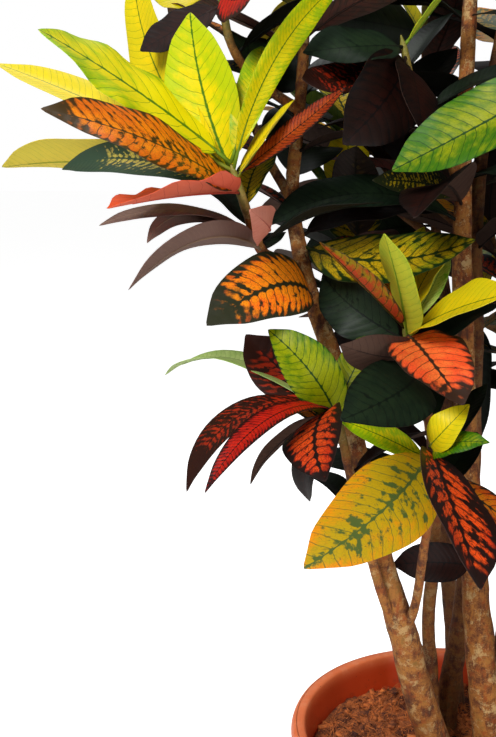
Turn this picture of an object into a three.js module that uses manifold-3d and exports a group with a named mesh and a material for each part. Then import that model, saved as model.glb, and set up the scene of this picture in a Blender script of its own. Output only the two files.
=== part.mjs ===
// Potted croton: a round plastic pot, its fill of coconut-fibre soil, and eight leafy stems.
// Millimetres, +Z up. The origin is the centre of the pot's flat base.
import * as THREE from "three";
import { mergeVertices } from "three/addons/utils/BufferGeometryUtils.js";
import Module from "manifold-3d";

// Driving dimensions of the pot
const POT_SEGMENTS = 32;
const RIM_RADIUS = 180;
const RIM_HEIGHT = 310;
const LIP_DROP = 26;
const MOUTH_RADIUS = 163;
const WALL = 4;
const FLOOR = 5;
const BASE_RADIUS = 122;
const DRAIN_HOLES = 5;
const DRAIN_RADIUS = 6;
const DRAIN_CIRCLE = 82;
const BASE_CHAMFER = 4;
const INNER_CORNER = 6;
const LIP_FOOT_GAP = 1.5;
const LIP_TAPER = 1;
const LIP_ROUND_DROP = 8;
const LIP_ROUND_IN = 4;
const LIP_EDGE_DROP = 2;
const MOUTH_ROUND_IN = 3;
const MOUTH_EDGE_DROP = 2.5;
const MOUTH_DROP = 9;

// Driving dimensions of the soil
const SOIL_EDGE_HEIGHT = 272;
const SOIL_MOUND = 5;
const SOIL_BUMP = 2.6;
const BUMP_WAVES = [0.071, 0.083, 0.19];
const SOIL_RINGS = [44, 92, 130];
const SEAT_GAP = 0.35;
const STEM_GAP = 0.4;

// Driving dimensions shared by all leaves
const PETIOLE_SHARE = 0.14;
const PETIOLE_HALF = 1.8;
const BLADE_THICKNESS = 2.2;
const FOLD_DEGREES = 14;
const BLADE_STATIONS = [0.02, 0.38, 0.74];
const FOOT_POWER = 0.9;
const TIP_POWER = 0.85;
const SWELL = 0.9;

// Driving dimensions shared by all stems
const TRUNK_RADIUS = 7;
const TRUNK_SIDES = 7;
const SHOOT_SIDES = 5;
const TRUNK_STEPS = 1.2;

// Leaves by the rule: the youngest at the shoot's tip and the oldest at its foot
const TURN_DEGREES = 137.5;
const STEEPEST_RISE = 84;
const YOUNG_RISE = 64;
const OLD_RISE = 2;
const YOUNG_ARCH = 8;
const OLD_ARCH = 58;
const YOUNG_SHARE = 0.62;
const SLENDERNESS = 0.34;
const SLENDERNESS_SPREAD = 0.09;
const TURN_SPREAD = 0.08;
const RISE_SPREAD = 14;
const SIZE_SPREAD = 0.2;
const ARCH_SPREAD = 16;
const ROLL_SPREAD = 50;
const BOW_SPREAD = 16;
const RISE_POWER = 0.75;
const SIZE_POWER = 0.5;
const JOIN_TOLERANCE = 0.15;

const radians = THREE.MathUtils.degToRad;
const mix = THREE.MathUtils.lerp;

// Stems and branches: a path of points x, y, z, radius. A branch starts on its parent's axis, well inside it.
const BRANCHES = {
  a: { stem: "front_left", path: [[-16, -10, 185, 17], [-25, -15, 270, 17], [-54, -28, 365, 15.5],
    [-71, -34, 427, 14.5], [-93, -40, 503, 11], [-117, -45, 600, 10], [-141, -40, 694, 9],
    [-169, -25, 774, 8], [-183, 0, 852, 6.5], [-176, 20, 935, 5.5], [-172, 30, 1020, 5],
    [-180, 38, 1120, 4]] },
  a_left: { stem: "front_left", path: [[-71, -34, 427, 6], [-88, -46, 458, 5.5], [-104, -60, 505, 5],
    [-132, -95, 606, 4.5], [-142, -105, 648, 4], [-152, -118, 686, 3.5]] },
  a_near: { stem: "front_left", path: [[-71, -34, 427, 5], [-64, -55, 469, 4.5], [-64, -85, 530, 4],
    [-66, -120, 590, 4], [-72, -142, 650, 3.5]] },
  a_high: { stem: "front_left", path: [[-169, -25, 774, 5.5], [-196, -40, 797, 5], [-212, -50, 807, 5],
    [-222, -60, 831, 4.5], [-240, -72, 885, 3.5]] },
  a_tip: { stem: "front_left", path: [[-176, 20, 935, 4.5], [-215, 5, 960, 4.5], [-240, -15, 990, 4],
    [-250, -20, 1040, 3.5]] },
  a_back: { stem: "front_left", path: [[-183, 0, 852, 5], [-205, 45, 890, 4.5], [-222, 88, 935, 4],
    [-226, 104, 980, 3.5]] },
  b: { stem: "left", path: [[-20, 42, 185, 8], [-25, 40, 316, 7.5], [-33, 37, 410, 7], [-32, 25, 500, 6.5],
    [-50, -30, 630, 5], [-74, -68, 700, 4.5], [-88, -88, 750, 3.5]] },
  b_back: { stem: "left", path: [[-32, 25, 500, 5], [-62, 62, 600, 4.5], [-88, 94, 690, 4.5],
    [-102, 112, 770, 4], [-112, 122, 840, 3.5]] },
  c: { stem: "back", path: [[18, 108, 185, 9.5], [14, 112, 310, 9], [4, 128, 440, 8.5], [-2, 150, 580, 8],
    [6, 184, 700, 7], [-5, 212, 800, 6], [-16, 224, 880, 5], [-22, 224, 970, 4.5], [-28, 214, 1070, 4]] },
  c_low: { stem: "back", path: [[-2, 150, 580, 5], [24, 190, 640, 4.5], [40, 222, 690, 4],
    [44, 236, 740, 3.5]] },
  c_left: { stem: "back", path: [[-5, 212, 800, 4.5], [-56, 230, 840, 4.5], [-92, 238, 885, 4],
    [-100, 238, 930, 3.5]] },
  d: { stem: "middle", path: [[-12, 62, 185, 12], [-9, 60, 262, 12], [-2, 60, 329, 11.5], [6, 65, 379, 11],
    [11, 70, 418, 10.5], [15, 75, 508, 9.5], [15, 80, 640, 8.5], [14, 86, 746, 8], [12, 92, 809, 7.5],
    [20, 105, 930, 6.5], [40, 118, 1050, 5.5], [52, 125, 1150, 4.5], [55, 128, 1215, 4]] },
  d_low: { stem: "middle", path: [[15, 80, 640, 5], [-18, 108, 672, 4.5], [-46, 142, 702, 4],
    [-58, 162, 750, 3.5]] },
  d_left: { stem: "middle", path: [[12, 92, 809, 5], [-30, 122, 846, 4.5], [-74, 150, 880, 4],
    [-92, 164, 935, 3.5]] },
  d_right: { stem: "middle", path: [[20, 105, 930, 4.5], [58, 158, 975, 4.5], [84, 196, 1015, 4],
    [92, 210, 1065, 3.5]] },
  e: { stem: "tall", path: [[36, -6, 185, 20], [30, -5, 290, 18.5], [19, -5, 352, 16], [8, 2, 450, 14],
    [-4, 10, 574, 12], [-15, 20, 764, 10], [-17, 25, 851, 8.5], [-16, 35, 964, 7.5], [-12, 48, 1060, 7],
    [-6, 55, 1180, 6], [0, 58, 1270, 5], [4, 60, 1330, 4]] },
  e_left: { stem: "tall", path: [[-17, 25, 851, 5], [-40, 10, 905, 4.5], [-70, 0, 950, 4],
    [-86, -6, 1000, 3.5]] },
  e_crown: { stem: "tall", path: [[-12, 48, 1060, 5], [-48, 22, 1105, 4.5], [-82, -8, 1150, 4],
    [-94, -18, 1205, 3.5]] },
  f: { stem: "front_right", path: [[62, -34, 185, 10], [56, -36, 330, 9.5], [44, -44, 480, 8.5],
    [50, -66, 620, 7.5],
    [62, -88, 760, 6.5], [60, -104, 870, 5.5], [56, -112, 980, 5], [46, -104, 1080, 4.5],
    [42, -98, 1150, 4]] },
  f_low: { stem: "front_right", path: [[50, -66, 620, 5], [80, -108, 662, 4.5], [104, -142, 708, 4],
    [110, -158, 755, 3.5]] },
  f_side: { stem: "front_right", path: [[62, -88, 760, 5], [100, -128, 818, 4.5], [128, -158, 878, 4],
    [136, -170, 930, 3.5]] },
  f_near: { stem: "front_right", path: [[60, -104, 870, 4.5], [50, -118, 910, 4], [42, -122, 962, 3.5]] },
  g: { stem: "right", path: [[78, 22, 185, 14], [80, 22, 290, 13.5], [96, 20, 400, 12],
    [118, 10, 520, 10.5],
    [140, -5, 640, 9], [165, -15, 760, 8], [180, -10, 880, 6.5], [178, 5, 1000, 5.5], [168, 14, 1090, 4.5],
    [162, 18, 1150, 4]] },
  g_low: { stem: "right", path: [[118, 10, 520, 6], [150, -28, 570, 5], [176, -66, 622, 4.5],
    [188, -90, 675, 3.5]] },
  g_out: { stem: "right", path: [[165, -15, 760, 5], [200, -40, 792, 4.5], [234, -62, 832, 4],
    [256, -76, 885, 3.5]] },
  g_back: { stem: "right", path: [[140, -5, 640, 5], [184, 22, 688, 4.5], [220, 46, 738, 4],
    [234, 54, 790, 3.5]] },
  g_high: { stem: "right", path: [[178, 5, 1000, 4.5], [212, 26, 1036, 4.5], [236, 40, 1080, 4],
    [242, 44, 1125, 3.5]] },
  h: { stem: "back_right", path: [[50, 74, 185, 11], [54, 78, 300, 10.5], [70, 92, 430, 9.5],
    [88, 112, 560, 8.5],
    [106, 128, 690, 7.5], [118, 138, 810, 6.5], [124, 136, 930, 5.5], [120, 130, 1030, 4.5],
    [116, 126, 1100, 4]] },
  h_low: { stem: "back_right", path: [[88, 112, 560, 5], [120, 148, 618, 4.5], [146, 178, 670, 4],
    [154, 192, 722, 3.5]] },
  h_back: { stem: "back_right", path: [[106, 128, 690, 5], [80, 170, 742, 4.5], [56, 196, 800, 4],
    [52, 204, 855, 3.5]] },
  h_out: { stem: "back_right", path: [[118, 138, 810, 5], [164, 166, 856, 4.5], [198, 186, 906, 4],
    [208, 190, 960, 3.5]] },
};

// Leaves set one by one: branch, place along it, tip x, y, z, width, arch, roll and sideways bow.
const SET_LEAVES = [
  ["a_high", 1.0, [-390, -136, 987], 110, 20, -35, -18],
  ["a_high", 0.97, [-456, -7, 975], 50, 10, -25, 12],
  ["a_high", 0.88, [-376, -207, 922], 66, 15, -45, 14],
  ["a_high", 0.92, [-275, -50, 1013], 70, -30, -90, -4],
  ["a_high", 0.89, [-335, -169, 849], 82, 15, 10, 14],
  ["a_high", 0.46, [-321, -159, 784], 34, 80, 45, 10],
  ["a_high", 0.89, [-400, 1, 880], 40, 45, -45, 18],
  ["a_high", 0.94, [-483, 112, 883], 72, 15, 25, 4],
  ["a_high", 0.945, [-334, 56, 1072], 54, -20, -80, 20],
  ["a_high", 0.97, [-137, -29, 1045], 30, 55, 105, -16],
  ["a_high", 1.0, [-212, -9, 990], 32, 60, 10, -12],
  ["a_high", 0.95, [-143, -87, 947], 26, -5, 50, 0],
  ["a_high", 0.74, [-224, -159, 848], 36, -40, 65, 16],
  ["a_high", 0.66, [-350, -111, 833], 30, 60, -15, 16],
  ["a_high", 0.6, [-306, -151, 821], 20, 80, 140, -16],
  ["a", 0.62, [-259, -143, 753], 64, 75, -55, 18],
  ["a", 0.68, [-29, -91, 820], 82, -45, 30, -6],
  ["a_left", 0.85, [-308, 25, 678], 40, 80, -5, 10],
  ["a_left", 0.85, [-208, -111, 745], 48, 35, -75, 18],
  ["a_left", 0.96, [-227, -67, 734], 56, -40, -50, -8],
  ["a_left", 0.95, [-274, -192, 626], 38, 80, -10, -18],
  ["a_left", 0.93, [-258, -229, 637], 24, 80, -15, 2],
  ["a_left", 0.9, [-223, -134, 614], 28, 70, 45, 0],
  ["a_left", 0.96, [-165, -212, 641], 60, 35, 35, -12],
  ["a_left", 0.88, [-170, -108, 590], 62, 80, -20, 10],
  ["a_near", 0.98, [-184, -262, 590], 70, 15, -35, 18],
  ["a_near", 1.0, [-52, -259, 572], 80, 45, -35, -6],
  ["a_near", 0.9, [18, -150, 566], 54, 25, 10, -8],
  ["a_near", 1.0, [-45, -165, 692], 32, -30, 75, -16],
  ["a_near", 0.93, [-32, -185, 665], 26, 60, 45, -14],
  ["a_near", 0.94, [-151, -164, 679], 26, 10, -55, 0],
  ["b", 0.93, [-116, -151, 829], 50, -10, -40, 4],
  ["b", 0.97, [-45, -46, 808], 26, 15, 0, -8],
  ["b", 0.95, [-28, -193, 784], 60, 15, 35, 0],
  ["b", 0.97, [-166, -132, 821], 60, 0, -10, 2],
  ["b", 0.95, [-56, -191, 697], 66, 45, 10, -8],
  ["b", 0.93, [-155, -22, 785], 54, 0, -75, 18],
  ["b", 0.83, [-153, -197, 686], 66, 15, -40, 18],
  ["b", 0.9, [-149, -142, 737], 44, -30, 55, 15],
  ["f_near", 0.97, [-106, -112, 878], 66, -5, -55, -6],
  ["a_tip", 1.0, [-320, 50, 1058], 56, -40, -35, -16],
  ["a_tip", 0.97, [-210, -122, 1030], 48, -50, 65, -2],
  ["a_tip", 0.9, [-321, -30, 983], 44, 0, -45, 0],
  ["e", 0.3, [-81, -13, 492], 42, 45, -65, 12],
  ["e", 0.52, [-207, -33, 830], 56, 65, -30, 4],
  ["e", 0.55, [-115, -55, 870], 30, 15, -80, 6],
  ["e_left", 0.93, [-177, -42, 980], 60, 5, -35, 14],
  ["e_left", 0.92, [-180, -88, 954], 42, -45, -40, -18],
  ["e_left", 0.88, [-145, -92, 900], 72, 10, -65, 14],
  ["e_left", 0.82, [-79, -94, 910], 52, 40, -40, 0],
];

// Large leaves that close the gaps inside the crown, in the same columns. They are put in last.
const INNER_LEAVES = [
  ["c_low", 0.75, [40, 80, 600], 72, 30, 60, 0],
  ["c", 0.65, [-160, 300, 770], 72, 30, -60, 0],
  ["c_low", 0.85, [-125, 260, 670], 72, 30, -60, 0],
  ["c", 0.95, [-140, 150, 1038], 84, 10, -60, 0],
  ["c", 0.74, [-98, 160, 936], 76, 10, -60, 0],
  ["a_back", 0.9, [-162, 100, 999], 62, 10, 75, 0],
];

// Leafy stretches: branch, where its leaves start and end, how many, their length, the first compass and the
// sector.
const LEAFY = [
  ["a", 0.8, 1, 10, 165, 20, 360],
  ["a_left", 0.45, 1, 5, 120, 20, 140],
  ["a_near", 0.55, 1, 3, 105, 10, 150],
  ["a_high", 0.4, 1, 5, 125, 0, 150],
  ["a_tip", 0.3, 1, 6, 120, 20, 130],
  ["a_back", 0.3, 1, 8, 130, -10, 200],
  ["b", 0.72, 1, 6, 120, 0, 170],
  ["b_back", 0.5, 1, 9, 175, 30, 300],
  ["c", 0.62, 1, 9, 175, -10, 360],
  ["c_low", 0.25, 1, 7, 150, -20, 210],
  ["c_left", 0.3, 1, 8, 178, 20, 230],
  ["d", 0.74, 1, 10, 185, 40, 360],
  ["d_low", 0.3, 1, 7, 135, 40, 250],
  ["d_left", 0.3, 1, 8, 172, 0, 360],
  ["d_right", 0.3, 1, 8, 165, -30, 260],
  ["e", 0.78, 1, 11, 185, 80, 360],
  ["e_left", 0.2, 1, 6, 120, -30, 190],
  ["e_crown", 0.3, 1, 8, 160, 60, 360],
  ["f", 0.66, 1, 10, 175, -130, 360],
  ["f_low", 0.3, 1, 8, 165, -110, 190],
  ["f_side", 0.3, 1, 9, 175, -120, 220],
  ["f_near", 0.2, 1, 5, 140, -90, 150],
  ["g", 0.7, 1, 10, 180, -60, 360],
  ["g_low", 0.3, 1, 8, 170, -150, 250],
  ["g_out", 0.3, 1, 10, 185, -140, 280],
  ["g_back", 0.3, 1, 8, 175, -70, 250],
  ["g_high", 0.3, 1, 7, 170, -60, 300],
  ["h", 0.66, 1, 9, 175, 10, 360],
  ["h_low", 0.25, 1, 8, 170, -20, 260],
  ["h_back", 0.3, 1, 7, 160, 20, 260],
  ["h_out", 0.3, 1, 7, 180, -40, 260],
  ["a", 0.64, 0.79, 5, 165, -30, 200],
  ["e", 0.52, 0.74, 6, 170, 20, 200],
  ["d", 0.56, 0.72, 6, 175, 20, 330],
  ["b", 0.55, 0.7, 3, 150, 60, 150],
];

// Where a leaf would cross another, it is turned by one of these steps, in degrees, or left out.
const RULE_TURNS = [0, 13, -13, 26, -26, 39, -39];
const RULE_LIFTS = [0, 11, -11, 22];
const SET_TURNS = [0, 2, -2, 4, -4, 7, -7];
const SET_LIFTS = [0, 2, -2, 4, -4, 7, -7];

const wasm = await Module();
wasm.setup();

// A solid from a closed geometry, with its shared corners merged.
function solidOf(geometry) {
  const bare = new THREE.BufferGeometry();
  bare.setAttribute("position", geometry.getAttribute("position"));
  bare.setIndex(geometry.index);
  const merged = mergeVertices(bare, 1e-4);
  return new wasm.Manifold(new wasm.Mesh({
    numProp: 3,
    vertProperties: new Float32Array(merged.attributes.position.array),
    triVerts: new Uint32Array(merged.index.array),
  }));
}

// The geometry of a finished solid.
function geometryOf(solid) {
  const { vertProperties, triVerts } = solid.getMesh();
  const geometry = new THREE.BufferGeometry();
  geometry.setAttribute("position", new THREE.BufferAttribute(new Float32Array(vertProperties), 3));
  geometry.setIndex(new THREE.BufferAttribute(new Uint32Array(triVerts), 1));
  geometry.computeVertexNormals();
  return geometry;
}

// A closed skin over rings of equal size, with a flat first ring and either a flat last ring or a point.
function skinOf(rings, point) {
  const sides = rings[0].length;
  const positions = rings.flat().flatMap((p) => [p.x, p.y, p.z]);
  const faces = [];
  for (let k = 0; k + 1 < rings.length; k++) {
    for (let j = 0; j < sides; j++) {
      const low = k * sides + j;
      const next = k * sides + ((j + 1) % sides);
      faces.push(low, next, next + sides, low, next + sides, low + sides);
    }
  }
  for (let j = 1; j + 1 < sides; j++) faces.push(0, j + 1, j);
  const last = (rings.length - 1) * sides;
  if (point) {
    positions.push(point.x, point.y, point.z);
    for (let j = 0; j < sides; j++) faces.push(last + j, last + ((j + 1) % sides), rings.length * sides);
  } else {
    for (let j = 1; j + 1 < sides; j++) faces.push(last, last + j, last + j + 1);
  }
  const geometry = new THREE.BufferGeometry();
  geometry.setAttribute("position", new THREE.Float32BufferAttribute(positions, 3));
  geometry.setIndex(faces);
  return geometry;
}

// The smooth curve through a branch's points, and its radius at a share of the way.
function routeOf(name) {
  const { path } = BRANCHES[name];
  const points = path.map(([x, y, z]) => new THREE.Vector3(x, y, z));
  const curve = new THREE.CatmullRomCurve3(points, false, "catmullrom", 0.5);
  const radius = (share) => {
    const place = Math.min(share, 1) * (path.length - 1);
    const index = Math.min(Math.floor(place), path.length - 2);
    return mix(path[index][3], path[index + 1][3], place - index);
  };
  return { curve, radius, length: path.length };
}

// A round stem along its route, with few sides. grow widens it and lowers its foot.
function stemGeometry(name, grow = 0) {
  const { curve, radius, length } = routeOf(name);
  const thick = radius(0) > TRUNK_RADIUS;
  const sides = thick ? TRUNK_SIDES : SHOOT_SIDES;
  const steps = Math.round((length - 1) * (thick ? TRUNK_STEPS : 1));
  const rings = [];
  let across = new THREE.Vector3(1, 0, 0);
  for (let k = 0; k <= steps; k++) {
    const share = k / steps;
    const along = curve.getTangent(share);
    across = across.clone().addScaledVector(along, -across.dot(along)).normalize();
    const aside = new THREE.Vector3().crossVectors(along, across);
    const centre = curve.getPoint(share);
    if (k === 0) centre.addScaledVector(along, -grow);
    const r = radius(share) + grow;
    rings.push(Array.from({ length: sides }, (_, j) => {
      const turn = (2 * Math.PI * j) / sides;
      return centre.clone()
        .addScaledVector(across, r * Math.cos(turn))
        .addScaledVector(aside, r * Math.sin(turn));
    }));
  }
  return skinOf(rings);
}

// Half of the blade's width as a share of its widest, from the blade's foot (0) to its tip (1).
function outline(share) {
  const sum = FOOT_POWER + TIP_POWER;
  const widest = (FOOT_POWER / sum) ** FOOT_POWER * (TIP_POWER / sum) ** TIP_POWER;
  return (share ** FOOT_POWER * (1 - share) ** TIP_POWER) / widest;
}

// One leaf. Its midrib is a circular arc from root to tip in an upright plane, bowed sideways, and the blade
// is a shallow V rolled about it. Each section has four corners: left edge, upper midrib, right edge and
// lower midrib.
function leafGeometry(leaf, grow = 0, bladeOnly = false) {
  const { root, tip, width, arch, roll, bow } = leaf;
  const reach = new THREE.Vector3().subVectors(tip, root);
  const flat = Math.hypot(reach.x, reach.y);
  const ahead = new THREE.Vector3(reach.x / flat, reach.y / flat, 0);
  const aside = new THREE.Vector3(-ahead.y, ahead.x, 0);
  const up = new THREE.Vector3(0, 0, 1);
  const bend = radians(Math.abs(arch) < 0.5 ? 0.5 : arch);
  const rise = Math.atan2(reach.z, flat) + bend / 2;
  const length = (reach.length() * (bend / 2)) / Math.sin(bend / 2);
  const turn = radians(roll);
  const fold = radians(FOLD_DEGREES);
  const frameAt = (share) => {
    const slope = rise - bend * share;
    const centre = root.clone()
      .addScaledVector(ahead, (length * (Math.sin(rise) - Math.sin(slope))) / bend)
      .addScaledVector(up, (length * (Math.cos(slope) - Math.cos(rise))) / bend)
      .addScaledVector(aside, 4 * bow * share * (1 - share));
    const over = ahead.clone().multiplyScalar(-Math.sin(slope)).addScaledVector(up, Math.cos(slope));
    const side = aside.clone().multiplyScalar(Math.cos(turn)).addScaledVector(over, Math.sin(turn));
    const normal = over.clone().multiplyScalar(Math.cos(turn)).addScaledVector(aside, -Math.sin(turn));
    return { centre, side, normal };
  };
  const section = (share, half, depth) => {
    const { centre, side, normal } = frameAt(share);
    const at = (s, n) => centre.clone().addScaledVector(side, s).addScaledVector(normal, n);
    const outward = half * Math.cos(fold);
    const raised = half * Math.sin(fold);
    return [at(outward, raised), at(0, depth), at(-outward, raised), at(0, -depth)];
  };
  const depth = BLADE_THICKNESS / 2 + grow;
  const rings = bladeOnly ? [] : [section(0, PETIOLE_HALF + grow, depth)];
  for (const station of BLADE_STATIONS) {
    const share = PETIOLE_SHARE + (1 - PETIOLE_SHARE) * station;
    rings.push(section(share, Math.max(PETIOLE_HALF, (width / 2) * outline(station)) + grow * 1.5, depth));
  }
  const { centre } = frameAt(1);
  return skinOf(rings, centre.addScaledVector(reach.clone().normalize(), grow));
}

// Seeded draws between 0 and 1.
function drawsFrom(seed) {
  let state = seed >>> 0;
  return () => {
    state = (state + 0x6d2b79f5) >>> 0;
    let t = state;
    t = Math.imul(t ^ (t >>> 15), t | 1);
    t ^= t + Math.imul(t ^ (t >>> 7), t | 61);
    return ((t ^ (t >>> 14)) >>> 0) / 4294967296;
  };
}

// The point at a length from a root, in a compass and rise direction.
function pointAt(root, length, compass, rise) {
  const flat = length * Math.cos(rise);
  const ahead = new THREE.Vector3(Math.cos(compass), Math.sin(compass), 0).multiplyScalar(flat);
  return root.clone().add(ahead.setZ(length * Math.sin(rise)));
}

// The same leaf turned about its root by a compass step and lifted by a rise step.
function turned(leaf, compassStep, riseStep) {
  const reach = new THREE.Vector3().subVectors(leaf.tip, leaf.root);
  const length = reach.length();
  const compass = Math.atan2(reach.y, reach.x) + radians(compassStep);
  const rise = Math.min(radians(STEEPEST_RISE), Math.asin(reach.z / length) + radians(riseStep));
  return { ...leaf, tip: pointAt(leaf.root, length, compass, rise) };
}

// A leaf from a row of SET_LEAVES or INNER_LEAVES.
function setLeaf([branch, share, [x, y, z], width, arch, roll, bow]) {
  const root = routeOf(branch).curve.getPoint(share);
  return { branch, root, tip: new THREE.Vector3(x, y, z), width, arch, roll, bow };
}

// The leaves that the rule puts on one leafy stretch.
function ruleLeaves([branch, start, end, count, size, firstCompass, sector], index) {
  const { curve } = routeOf(branch);
  const draw = drawsFrom(1000 + 17 * index);
  return Array.from({ length: count }, (_, i) => {
    const share = mix(end, start, (i + 0.5) / count);
    const age = (1 - share) / (1 - start);
    const root = curve.getPoint(share);
    const around = ((i * TURN_DEGREES) / 360 + draw() * TURN_SPREAD) % 1;
    const compass = radians(firstCompass + sector * around);
    const rise = radians(mix(YOUNG_RISE, OLD_RISE, age ** RISE_POWER) + RISE_SPREAD * (draw() - 0.5));
    const grown = mix(YOUNG_SHARE, 1, age ** SIZE_POWER);
    const length = size * grown * (1 + SIZE_SPREAD * (draw() - 0.5));
    return {
      branch,
      root,
      tip: pointAt(root, length, compass, rise),
      width: length * (SLENDERNESS + SLENDERNESS_SPREAD * draw()),
      arch: mix(YOUNG_ARCH, OLD_ARCH, age) + ARCH_SPREAD * (draw() - 0.5),
      roll: ROLL_SPREAD * (draw() - 0.5),
      bow: BOW_SPREAD * (draw() - 0.5),
    };
  });
}

// The solids placed so far, each with the stem it belongs to and its box.
const placed = [];

function boxOf(geometry) {
  geometry.computeBoundingBox();
  return geometry.boundingBox;
}

// Whether a leaf stands clear of every solid placed so far: the whole leaf on other stems, and the blade on
// its own stem.
function isClear(leaf, stem) {
  const whole = leafGeometry(leaf, SWELL);
  const box = boxOf(whole);
  const touching = placed.filter((other) => other.box.intersectsBox(box));
  const near = touching.filter((other) => other.branch !== leaf.branch);
  const sisters = touching.filter((other) => other.branch === leaf.branch && other.blade);
  if (!near.length && !sisters.length) return true;
  const wholeSolid = solidOf(whole);
  const bladeSolid = solidOf(leafGeometry(leaf, SWELL, true));
  const crosses = (mine, theirs) => {
    const common = mine.intersect(theirs);
    const hit = !common.isEmpty();
    common.delete();
    return hit;
  };
  const clear = near.every((other) => (other.stem === stem
    ? !crosses(bladeSolid, other.blade ?? other.solid)
    : !crosses(wholeSolid, other.solid)))
    && sisters.every((other) => !crosses(bladeSolid, other.blade));
  wholeSolid.delete();
  bladeSolid.delete();
  return clear;
}

// Puts a leaf at the first of its steps where it is clear. A leaf with no clear step is left out.
function place(leaf, turns, lifts) {
  const { stem } = BRANCHES[leaf.branch];
  for (const lift of lifts) {
    for (const turn of turns) {
      const candidate = turned(leaf, turn, lift);
      if (!isClear(candidate, stem)) continue;
      const geometry = leafGeometry(candidate);
      const solid = solidOf(geometry);
      const blade = solidOf(leafGeometry(candidate, 0, true));
      placed.push({ stem, branch: leaf.branch, solid, blade, box: boxOf(geometry) });
      return true;
    }
  }
  return false;
}

// The pot: one turned section from the base's middle up the outside, over the rolled lip and down the inside.
function potSolid() {
  const lipFoot = RIM_HEIGHT - LIP_DROP;
  const underLip = MOUTH_RADIUS + LIP_FOOT_GAP;
  const crown = (RIM_RADIUS + MOUTH_RADIUS) / 2;
  const shoulder = FLOOR + INNER_CORNER;
  const profile = [
    [0, 0],
    [BASE_RADIUS - BASE_CHAMFER, 0],
    [BASE_RADIUS, BASE_CHAMFER],
    [underLip, lipFoot],
    [RIM_RADIUS - LIP_TAPER, lipFoot],
    [RIM_RADIUS, RIM_HEIGHT - LIP_ROUND_DROP],
    [RIM_RADIUS - LIP_ROUND_IN, RIM_HEIGHT - LIP_EDGE_DROP],
    [crown, RIM_HEIGHT],
    [MOUTH_RADIUS + MOUTH_ROUND_IN, RIM_HEIGHT - MOUTH_EDGE_DROP],
    [MOUTH_RADIUS, RIM_HEIGHT - MOUTH_DROP],
    [innerRadius(shoulder), shoulder],
    [innerRadius(shoulder) - INNER_CORNER, FLOOR],
    [0, FLOOR],
  ].map(([r, z]) => new THREE.Vector2(r, z));
  const lathe = new THREE.LatheGeometry(profile, POT_SEGMENTS);
  lathe.rotateX(Math.PI / 2);
  let pot = solidOf(lathe);
  for (let k = 0; k < DRAIN_HOLES; k++) {
    const turn = (2 * Math.PI * k) / DRAIN_HOLES;
    const drill = new THREE.CylinderGeometry(DRAIN_RADIUS, DRAIN_RADIUS, 4 * FLOOR, 8);
    drill.rotateX(Math.PI / 2);
    drill.translate(DRAIN_CIRCLE * Math.cos(turn), DRAIN_CIRCLE * Math.sin(turn), 0);
    pot = pot.subtract(solidOf(drill));
  }
  return pot;
}

// The pot's inside radius at a height.
function innerRadius(height) {
  const slope = (MOUTH_RADIUS - (BASE_RADIUS - WALL)) / (RIM_HEIGHT - FLOOR);
  return MOUTH_RADIUS - slope * (RIM_HEIGHT - MOUTH_DROP - height);
}

// The soil: it fills the pot to SEAT_GAP of its wall, and has a low lumpy mound on top and a plain hole for
// each stem.
function soilSolid(feet) {
  const corner = (radius, index, height) => {
    const turn = (2 * Math.PI * index) / POT_SEGMENTS;
    return new THREE.Vector3(radius * Math.sin(turn), radius * Math.cos(turn), height);
  };
  const lumps = (x, y) => {
    const [across, along, slant] = BUMP_WAVES;
    const broad = Math.sin(x * across + 1.3) * Math.cos(y * along);
    return SOIL_BUMP * (broad + 0.5 * Math.sin((x - y) * slant));
  };
  const ring = (radius, height) => Array.from({ length: POT_SEGMENTS }, (_, j) => corner(radius, -j, height));
  const bottom = FLOOR + SEAT_GAP;
  const shoulder = FLOOR + INNER_CORNER;
  const rings = [
    ring(innerRadius(shoulder) - INNER_CORNER - SEAT_GAP, bottom),
    ring(innerRadius(shoulder) - SEAT_GAP, shoulder + SEAT_GAP),
    ring(innerRadius(SOIL_EDGE_HEIGHT) - SEAT_GAP, SOIL_EDGE_HEIGHT),
  ];
  for (const radius of [...SOIL_RINGS].reverse()) {
    const mound = SOIL_EDGE_HEIGHT + SOIL_MOUND * (1 - (radius / MOUTH_RADIUS) ** 2);
    rings.push(ring(radius, mound).map((p) => p.setZ(mound + lumps(p.x, p.y))));
  }
  const peak = new THREE.Vector3(0, 0, SOIL_EDGE_HEIGHT + SOIL_MOUND + lumps(0, 0));
  let soil = solidOf(skinOf(rings, peak));
  for (const foot of feet) soil = soil.subtract(solidOf(stemGeometry(foot, STEM_GAP)));
  return soil;
}

const branchNames = Object.keys(BRANCHES);
for (const name of branchNames) {
  const geometry = stemGeometry(name);
  placed.push({ stem: BRANCHES[name].stem, branch: name, solid: solidOf(geometry), box: boxOf(geometry) });
}
for (const row of SET_LEAVES) place(setLeaf(row), SET_TURNS, SET_LIFTS);
LEAFY.forEach((stretch, index) => {
  for (const leaf of ruleLeaves(stretch, index)) place(leaf, RULE_TURNS, RULE_LIFTS);
});
for (const row of INNER_LEAVES) place(setLeaf(row), SET_TURNS, SET_LIFTS);

// Each node with its colour, roughness and solid.
const croton = new THREE.Group();

function addNode(name, solid, color, roughness) {
  const material = new THREE.MeshStandardMaterial({ color, roughness, metalness: 0 });
  const mesh = new THREE.Mesh(geometryOf(solid), material);
  mesh.name = name;
  croton.add(mesh);
}

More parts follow.
